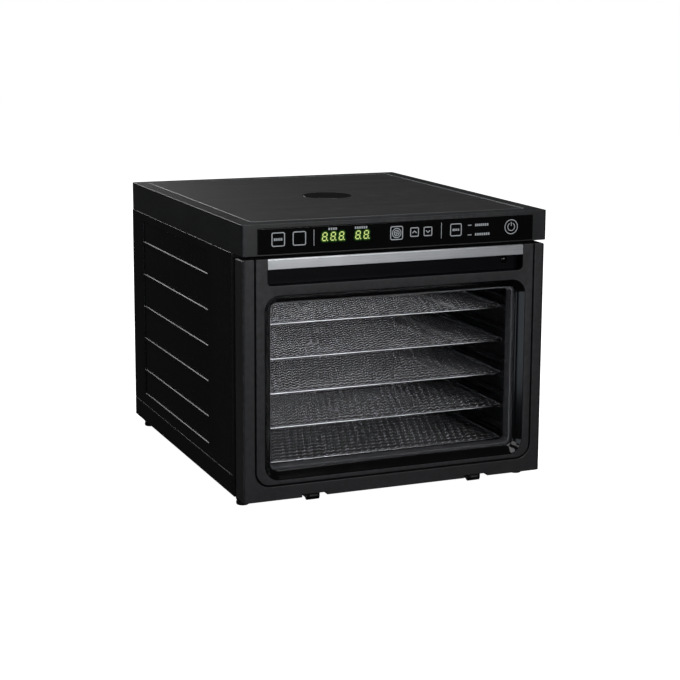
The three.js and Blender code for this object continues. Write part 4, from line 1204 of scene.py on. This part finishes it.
@dataclass
class Door:
    """The drop-down door with its trim, glass, handle and hinge parts. Sizes in millimetres."""

    bench: Bench
    frame_cut: float = 120.0
    pin_height: float = 9.6
    window_half: float = 142.5
    window_low: float = 41.0
    window_high: float = 220.0
    window_radius: float = 8.0
    bevel_depth: float = 7.0
    bevel_width: float = 8.5
    trim_thickness: float = 0.35
    cup_wall: float = 1.8
    boss_place: Point = (130.5, 249.0)
    boss_radius: float = 4.2
    boss_height: float = 2.4

    def build(self) -> None:
        """Makes every piece of the door."""
        bench, body = self.bench, Body.DOOR.value
        bench.ease_node("door_outer_frame", 0.7, Palette.GRAINED, "grained_plastic", body,
                        "door_surround", 3, both_sides(self.frame_cut))
        bench.ease_node("door_inner_frame", 0.7, Palette.GRAINED, "grained_plastic", body, "door_panel", 3)
        bench.ease_node("handle_cup", 0.4, Palette.RECESS, "gloss_plastic", body, "handle_recess")
        bench.ease_node("handle_strip", 0.3, Palette.ALUMINIUM, "brushed_aluminium", body, "handle_rail")
        bench.paint_node("door_glass", Palette.GLASS)
        # The seal takes the chamber's painted shade in place of a rubber colour.
        bench.ease_node("door_gasket", 0.8, Palette.SHADED_CHAMBER, "rubber", body, "door_seal")
        pin_cut = [(2, self.pin_height)]
        for side in SIDES:
            bench.ease_node(f"door_magnet_{side}", 0.2, Palette.MAGNET, "magnet", body)
            bench.ease_node(f"hinge_clevis_{side}", 0.3, Palette.HINGE, "zinc_steel", body, cuts=pin_cut)
            bench.ease_node(f"hinge_pin_{side}", 0.2, Palette.STAINLESS, "stainless", body)
            bench.ease_node(f"hinge_bracket_{side}", 0.3, Palette.HINGE, "zinc_steel",
                            Body.CABINET.value, cuts=pin_cut)
        self._trim()
        self._boss()

    def _boss(self) -> None:
        """Adds the small domed boss near the right end of the handle recess."""
        back_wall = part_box("handle_cup")[1].y - self.cup_wall * MM
        rings = []
        for step in range(7):
            tilt = math.radians(step * 14)
            radius, depth = self.boss_radius * math.cos(tilt), self.boss_height * math.sin(tilt)
            outline = ring_outline(self.boss_place, radius, 28)
            rings.append([(x * MM, back_wall + (0.3 - depth) * MM, z * MM) for x, z in outline])
        mesh = loft_rings("recess_boss", rings, closed=False, caps=True)
        self.bench.finish_piece("recess_boss", mesh, Palette.GLOSS, "gloss_plastic", Body.DOOR.value)

    def _trim(self) -> None:
        """Lays a gloss bezel with a small outer lip on the slope round the window."""
        centre = (0.0, (self.window_low + self.window_high) / 2)
        tall = (self.window_high - self.window_low) / 2
        slope = math.atan2(self.bevel_depth, self.bevel_width)
        lift = (-math.sin(slope) * self.trim_thickness, -math.cos(slope) * self.trim_thickness)
        wide, deep = self.bevel_width, self.bevel_depth
        profile = [(wide, 0.04), (wide - 0.7, 0.04), (wide - 1.5, 0.75)]
        for step in range(1, 6):
            share = step / 5
            sag = 0.25 * math.sin(math.pi * share)
            grow = (wide - 1.5) * (1 - share)
            profile.append((grow + lift[0] * 0.5, deep * (1 - grow / wide) + lift[1] + sag))
        profile += [(-0.3, deep + 0.1), (0.4, deep + 0.1)]
        rings = []
        for grow, depth in profile:
            half = (self.window_half + grow, tall + grow)
            outline = rounded_outline(half, self.window_radius + grow, 10, centre)
            rings.append([(x * MM, behind(depth), z * MM) for x, z in outline])
        mesh = loft_rings("window_trim", rings, closed=True)
        mesh.set_sharp_from_angle(angle=math.radians(32))
        self.bench.finish_piece("window_trim", mesh, Palette.GLOSS, "gloss_plastic", Body.DOOR.value)


# ------------------------------------------------------------------------------ trays


@dataclass
class WireTray:
    """A woven wire tray with a round rim. Sizes in millimetres."""

    bench: Bench
    warp_pitch: float = 4.17
    weft_pitch: float = 11.64
    wire: float = 0.2
    warp_crimp: float = 0.2
    weft_crimp: float = 0.8
    weft_wire: float = 0.4
    rim: float = 1.0
    corner: float = 10.0
    corner_steps: int = 6
    wrap_pitch: float = 12.5
    trays: int = 6

    def _weave(self, tree: GeometryTree, along: str) -> bpy.types.NodeSocket:
        """Adds the wires that run one way, crimped over and under the others.

        Args:
            tree: The tree to add to.
            along: The axis that the wires follow, X or Y.

        Returns:
            The wires' mesh.
        """
        sheet, into = tree.sheet, tree.into
        follows_y = along == "Y"
        run, across = ("Depth", "Width") if follows_y else ("Width", "Depth")
        own, other = ("Warps", "Wefts") if follows_y else ("Wefts", "Warps")
        half = sheet.math("MULTIPLY", into[run], 0.5)
        ends = [sheet.add("ShaderNodeCombineXYZ", {1 if follows_y else 0: value}).outputs[0]
                for value in (sheet.math("MULTIPLY", half, -1.0), half)]
        line = sheet.add("GeometryNodeCurvePrimitiveLine", {"Start": ends[0], "End": ends[1]})
        count = sheet.math("MULTIPLY_ADD", into[other], 4.0, 1.0)
        fine = sheet.add("GeometryNodeResampleCurve", {"Curve": line.outputs[0], "Count": count})
        copies = sheet.add("GeometryNodeDuplicateElements", {
            "Geometry": fine.outputs[0], "Amount": into[own]}, domain="SPLINE")
        index = copies.outputs[1]
        position = sheet.add("GeometryNodeInputPosition").outputs[0]
        place = sheet.add("ShaderNodeSeparateXYZ", {0: position})
        travel = place.outputs[1 if follows_y else 0]
        pitch = sheet.math("DIVIDE", into[across], into[own])
        offset = sheet.math("MULTIPLY", sheet.math("SUBTRACT", index, sheet.math(
            "MULTIPLY", sheet.math("SUBTRACT", into[own], 1.0), 0.5)), pitch)
        corner = into["Corner"]
        straight = sheet.math("SUBTRACT", sheet.math("MULTIPLY", into[across], 0.5), corner)
        past = sheet.math("SUBTRACT", sheet.math("ABSOLUTE", offset), straight)
        into_corner = sheet.math("MAXIMUM", past, 0.0)
        whole, gone = (sheet.math("POWER", side, 2.0) for side in (corner, into_corner))
        left = sheet.math("MAXIMUM", sheet.math("SUBTRACT", whole, gone), 0.0)
        cut = sheet.math("SUBTRACT", corner, sheet.math("SQRT", left))
        kept = sheet.math("DIVIDE", sheet.math("SUBTRACT", half, cut), half)
        travel = sheet.math("MULTIPLY", travel, kept)
        other_pitch = sheet.math("DIVIDE", into[run], into[other])
        phase = sheet.math("ADD", sheet.math("DIVIDE", travel, other_pitch), sheet.math(
            "MULTIPLY", sheet.math("SUBTRACT", into[other], 1.0), 0.5))
        half_turns = sheet.math("ADD", phase, index)
        wave = sheet.math("COSINE", sheet.math("MULTIPLY", half_turns, math.pi))
        height = sheet.math("MULTIPLY", wave, into["Warp Crimp"] if follows_y else sheet.math(
            "MULTIPLY", into["Weft Crimp"], -1.0))
        first, second = (offset, travel) if follows_y else (travel, offset)
        target = sheet.add("ShaderNodeCombineXYZ", {0: first, 1: second, 2: height}).outputs[0]
        moved = sheet.add("GeometryNodeSetPosition", {
            "Geometry": copies.outputs[0], "Position": target})
        radius = into["Wire"] if follows_y else into["Weft Wire"]
        section = sheet.add("GeometryNodeCurvePrimitiveCircle", {"Resolution": 5, "Radius": radius})
        swept = {0: moved.outputs[0], 1: section.outputs[0]}
        return sheet.add("GeometryNodeCurveToMesh", swept).outputs[0]

    def _rim(self, tree: GeometryTree) -> tuple[bpy.types.NodeSocket, bpy.types.NodeSocket]:
        """Adds the rim rod and the wire ends wrapped round it."""
        sheet, into = tree.sheet, tree.into
        frame_line = sheet.add("GeometryNodeCurvePrimitiveQuadrilateral",
                               {"Width": into["Width"], "Height": into["Depth"]})
        bent = sheet.add("GeometryNodeFilletCurve", {
            "Curve": frame_line.outputs[0],
            "Radius": into["Corner"],
            "Count": self.corner_steps,
            "Limit Radius": True,
        }, mode="POLY")
        rod = sheet.add("GeometryNodeCurvePrimitiveCircle", {"Resolution": 10, "Radius": into["Rim"]})
        rail = sheet.add("GeometryNodeCurveToMesh", {0: bent.outputs[0], 1: rod.outputs[0]})
        spots = sheet.add("GeometryNodeCurveToPoints", {
            "Curve": bent.outputs[0], "Length": into["Wrap Pitch"]}, mode="LENGTH")
        grip = sheet.add("GeometryNodeCurvePrimitiveCircle", {
            "Resolution": 8, "Radius": sheet.math("MULTIPLY", into["Rim"], 1.05)})
        strand = sheet.add("GeometryNodeCurvePrimitiveCircle", {
            "Resolution": 4, "Radius": sheet.math("MULTIPLY", into["Wire"], 0.9)})
        wrap = sheet.add("GeometryNodeCurveToMesh", {0: grip.outputs[0], 1: strand.outputs[0]})
        wraps = sheet.add("GeometryNodeInstanceOnPoints", {
            "Points": spots.outputs["Points"],
            "Instance": wrap.outputs[0],
            "Rotation": spots.outputs["Rotation"],
        })
        return rail.outputs[0], wraps.outputs[0]

    def build(self) -> None:
        """Weaves one tray and places a copy of it on each pair of rails."""
        low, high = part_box("tray_1")
        width, depth = ((high[axis] - low[axis]) / MM - 2 * self.rim for axis in (0, 1))
        sizes = {
            "Width": width * MM,
            "Depth": depth * MM,
            "Warps": round(width / self.warp_pitch),
            "Wefts": round(depth / self.weft_pitch),
            "Wire": self.wire * MM,
            "Weft Wire": self.weft_wire * MM,
            "Warp Crimp": self.warp_crimp * MM,
            "Weft Crimp": self.weft_crimp * MM,
            "Rim": self.rim * MM,
            "Corner": (self.corner - self.rim) * MM,
            "Wrap Pitch": self.wrap_pitch * MM,
        }
        tree = GeometryTree("Woven Tray", sizes)
        joined = tree.sheet.add("GeometryNodeJoinGeometry")
        for part in (self._weave(tree, "Y"), self._weave(tree, "X"), *self._rim(tree)):
            tree.sheet.feed(joined.inputs[0], part)
        tree.close(joined.outputs[0])
        material = self.bench.palette.material(Palette.STAINLESS)
        woven = tree.bake("woven_tray", material)
        for index in range(1, self.trays + 1):
            low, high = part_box(f"tray_{index}")
            mesh = woven.copy()
            mesh.transform(Matrix.Translation((low + high) / 2))
            tray = f"tray_{index}"
            self.bench.finish_piece(f"wire_{tray}", mesh, Palette.STAINLESS, "stainless", tray, (tray,))
        bpy.data.meshes.remove(woven)


# ------------------------------------------------------------------------------ fasteners


@dataclass
class Fasteners:
    """Cross-recessed screws on the rear and the base. Sizes in millimetres."""

    bench: Bench
    head: float = 3.1
    height: float = 1.5
    top_share: float = 0.68
    slot_length: float = 1.05
    slot_width: float = 0.24
    sunk: float = 0.1
    panel_inset: float = 9.0
    base_inset: float = 30.0
    base_rear_inset: float = 60.0

    def _screws(self, name: str, places: Sequence[Vector], turn: Place,
                stands_for: Sequence[str] = ()) -> None:
        """Puts screws at places, turned to face one way.

        Args:
            name: The piece's name.
            places: Where the heads sit, in metres.
            turn: Euler angles that turn a head from facing up.
            stands_for: CAD nodes that it is shown instead of.
        """
        sizes = {"Head Radius": self.head * MM, "Head Height": self.height * MM, "Turn": turn}
        tree = GeometryTree(name.replace("_", " ").title(), sizes)
        sheet, into = tree.sheet, tree.into
        radius = into["Head Radius"]
        top, across, narrow = (sheet.math("MULTIPLY", radius, share)
                               for share in (self.top_share, self.slot_length, self.slot_width))
        head = sheet.add("GeometryNodeMeshCone", {
            "Vertices": 24, "Radius Top": top, "Radius Bottom": radius, "Depth": into["Head Height"]})
        rise = sheet.add("ShaderNodeCombineXYZ", {2: into["Head Height"]}).outputs[0]
        cutting = sheet.add("GeometryNodeMeshBoolean", operation="DIFFERENCE", solver="EXACT")
        sheet.feed(cutting.inputs[0], head.outputs[0])
        for first, second in ((across, narrow), (narrow, across)):
            size = sheet.add("ShaderNodeCombineXYZ", {0: first, 1: second, 2: into["Head Height"]})
            blade = sheet.add("GeometryNodeMeshCube", {"Size": size.outputs[0]})
            lifted = sheet.add("GeometryNodeTransform", {
                "Geometry": blade.outputs[0], "Translation": rise})
            sheet.feed(cutting.inputs[1], lifted.outputs[0])
        placed = sheet.add("GeometryNodeInstanceOnPoints", {
            "Points": into["Geometry"], "Instance": cutting.outputs[0], "Rotation": into["Turn"]})
        tree.close(placed.outputs[0], smooth=False)
        mesh = tree.bake(name, self.bench.palette.material(Palette.ZINC), places)
        self.bench.finish_piece(name, mesh, Palette.ZINC, "zinc_steel", Body.CABINET.value, stands_for)

    def build(self) -> None:
        """Places the screws of the rear cover, the rear panel and the base."""
        covers = [f"cover_screw_{i}" for i in range(1, 5)]
        spots = []
        for node in covers:
            low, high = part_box(node)
            middle = (low + high) / 2
            spots.append(Vector((middle.x, high.y - self.height * MM, middle.z)))
        backward, downward = (-math.pi / 2, 0.0, 0.0), (math.pi, 0.0, 0.0)
        self._screws("cover_screws", spots, backward, covers)
        low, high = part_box("rear_panel")
        inset, sunk = self.panel_inset * MM, self.sunk * MM
        left, right = low.x + inset, high.x - inset
        rows = [(x, z) for z in (low.z + inset, high.z - inset) for x in (left, 0.0, right)]
        rows += [(x, (low.z + high.z) / 2) for x in (left, right)]
        self._screws("panel_screws", [Vector((x, high.y + sunk, z)) for x, z in rows], backward)
        low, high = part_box("base_pan")
        inset = self.base_inset * MM
        floor = [Vector((x, y, low.z - sunk)) for x in (low.x + inset, high.x - inset)
                 for y in (low.y + inset, 0.0, high.y - self.base_rear_inset * MM)]
        self._screws("base_screws", floor, downward)


# ------------------------------------------------------------------------------ studio


@dataclass
class SoftLight:
    """One soft light panel, in metres and watts."""

    name: str
    place: Place
    target: Place
    size: Point
    power: float
    colour: Colour = (1.0, 1.0, 1.0)

    def build(self) -> None:
        """Hangs the light."""
        data = bpy.data.lights.new(self.name, "AREA")
        data.shape = "RECTANGLE"
        data.size, data.size_y = self.size
        data.energy = self.power
        data.color = self.colour
        lamp = bpy.data.objects.new(self.name, data)
        lamp.location = self.place
        aim = Vector(self.target) - Vector(self.place)
        lamp.rotation_euler = aim.to_track_quat("-Z", "Y").to_euler()
        lamp.visible_camera = False
        bpy.context.scene.collection.objects.link(lamp)


@dataclass
class Studio:
    """The floor, the soft light and the camera."""

    eye: Place = (-0.7202, -1.7849, 0.5352)
    yaw: float = 22.980
    pitch: float = 10.102
    roll: float = 0.370
    lens: float = 88.196
    shift: Point = (-0.0173, -0.0768)
    floor_half: float = 6.0

    def build(self) -> None:
        """Sets up the whole studio."""
        self._floor()
        self._world()
        for light in self._lights():
            light.build()
        self._camera()
        scene = bpy.context.scene
        scene.view_settings.view_transform = "Standard"
        scene.view_settings.look = "None"

    @staticmethod
    def _lights() -> list[SoftLight]:
        """The soft lights, from the largest to the smallest."""
        return [
            SoftLight("overhead", (-0.15, -0.45, 1.9), (0.0, -0.1, 0.1), (1.7, 1.9), 26.0),
            SoftLight("key_left", (-0.4, -0.95, 0.45), (-0.05, -0.2, 0.15), (0.4, 0.4), 1.0),
            SoftLight("front_right", (0.42, -1.95, 0.5), (0.0, -0.1, 0.14), (0.7, 0.4), 6.0),
            SoftLight("rear_rim", (-0.7, 2.3, 1.15), (0.0, 0.0, 0.25), (2.2, 0.6), 18.0),
            SoftLight("bevel_card", (-0.42, -0.6, 0.1), (0.15, -0.21, 0.13), (0.16, 0.3), 0.15,
                      (0.8, 0.9, 1.0)),
        ]

    def _floor(self) -> None:
        """Lays the pale floor."""
        half = self.floor_half
        corners = [(-half, -half, 0.0), (half, -half, 0.0), (half, half, 0.0), (-half, half, 0.0)]
        mesh = mesh_from("floor", corners, [(0, 1, 2, 3)])
        material = bpy.data.materials.new("Pale floor")
        material.use_nodes = True
        shader = material.node_tree.nodes["Principled BSDF"]
        shader.inputs["Base Color"].default_value = (0.92, 0.92, 0.92, 1.0)
        shader.inputs["Roughness"].default_value = 0.9
        shader.inputs["Emission Color"].default_value = (1.0, 1.0, 1.0, 1.0)
        shader.inputs["Emission Strength"].default_value = 0.985
        mesh.materials.append(material)
        floor = Bench.add_object("floor", mesh)
        floor.visible_glossy = False
        floor.visible_diffuse = False

    @staticmethod
    def _world() -> None:
        """Makes a white surround that reflections see as a dim one."""
        world = bpy.data.worlds.new("studio")
        bpy.context.scene.world = world
        world.use_nodes = True
        world.node_tree.nodes.clear()
        sheet = NodeSheet(world.node_tree)
        path = sheet.add("ShaderNodeLightPath").outputs
        dim = sheet.blend(path["Is Glossy Ray"], grey(0.02), grey(0.015))
        shown = sheet.blend(path["Is Camera Ray"], dim, grey(1.0))
        light = sheet.add("ShaderNodeBackground", {"Color": shown, "Strength": 1.0})
        sheet.add("ShaderNodeOutputWorld", {"Surface": light.outputs[0]})

    def _camera(self) -> None:
        """Places the camera."""
        yaw, pitch, roll = (math.radians(a) for a in (self.yaw, self.pitch, self.roll))
        level = math.cos(pitch)
        ahead = Vector((math.sin(yaw) * level, math.cos(yaw) * level, -math.sin(pitch)))
        right = Vector((math.cos(yaw), -math.sin(yaw), 0.0))
        above = right.cross(ahead)
        across = right * math.cos(roll) + above * math.sin(roll)
        upward = above * math.cos(roll) - right * math.sin(roll)
        data = bpy.data.cameras.new("camera")
        data.lens = self.lens
        data.sensor_width = 36.0
        data.shift_x, data.shift_y = self.shift
        data.clip_start = 0.05
        data.clip_end = 50.0
        camera = bpy.data.objects.new("camera", data)
        camera.matrix_world = Matrix((
            (across.x, upward.x, -ahead.x, self.eye[0]),
            (across.y, upward.y, -ahead.y, self.eye[1]),
            (across.z, upward.z, -ahead.z, self.eye[2]),
            (0.0, 0.0, 0.0, 1.0),
        ))
        bpy.context.scene.collection.objects.link(camera)
        bpy.context.scene.camera = camera


def main() -> None:
    """Builds the studio and every sub-assembly in order."""
    logging.basicConfig(level=logging.INFO, format="%(name)s: %(message)s")
    bench = Bench()
    steps: Sequence[Callable[[], None]] = (
        Studio().build,
        ControlHousing(bench).build,
        Casing(bench).build,
        DryingChamber(bench).build,
        AirSystem(bench).build,
        Door(bench).build,
        WireTray(bench).build,
        Fasteners(bench).build,
    )
    for step in steps:
        step()


if __name__ == "__main__":
    main()
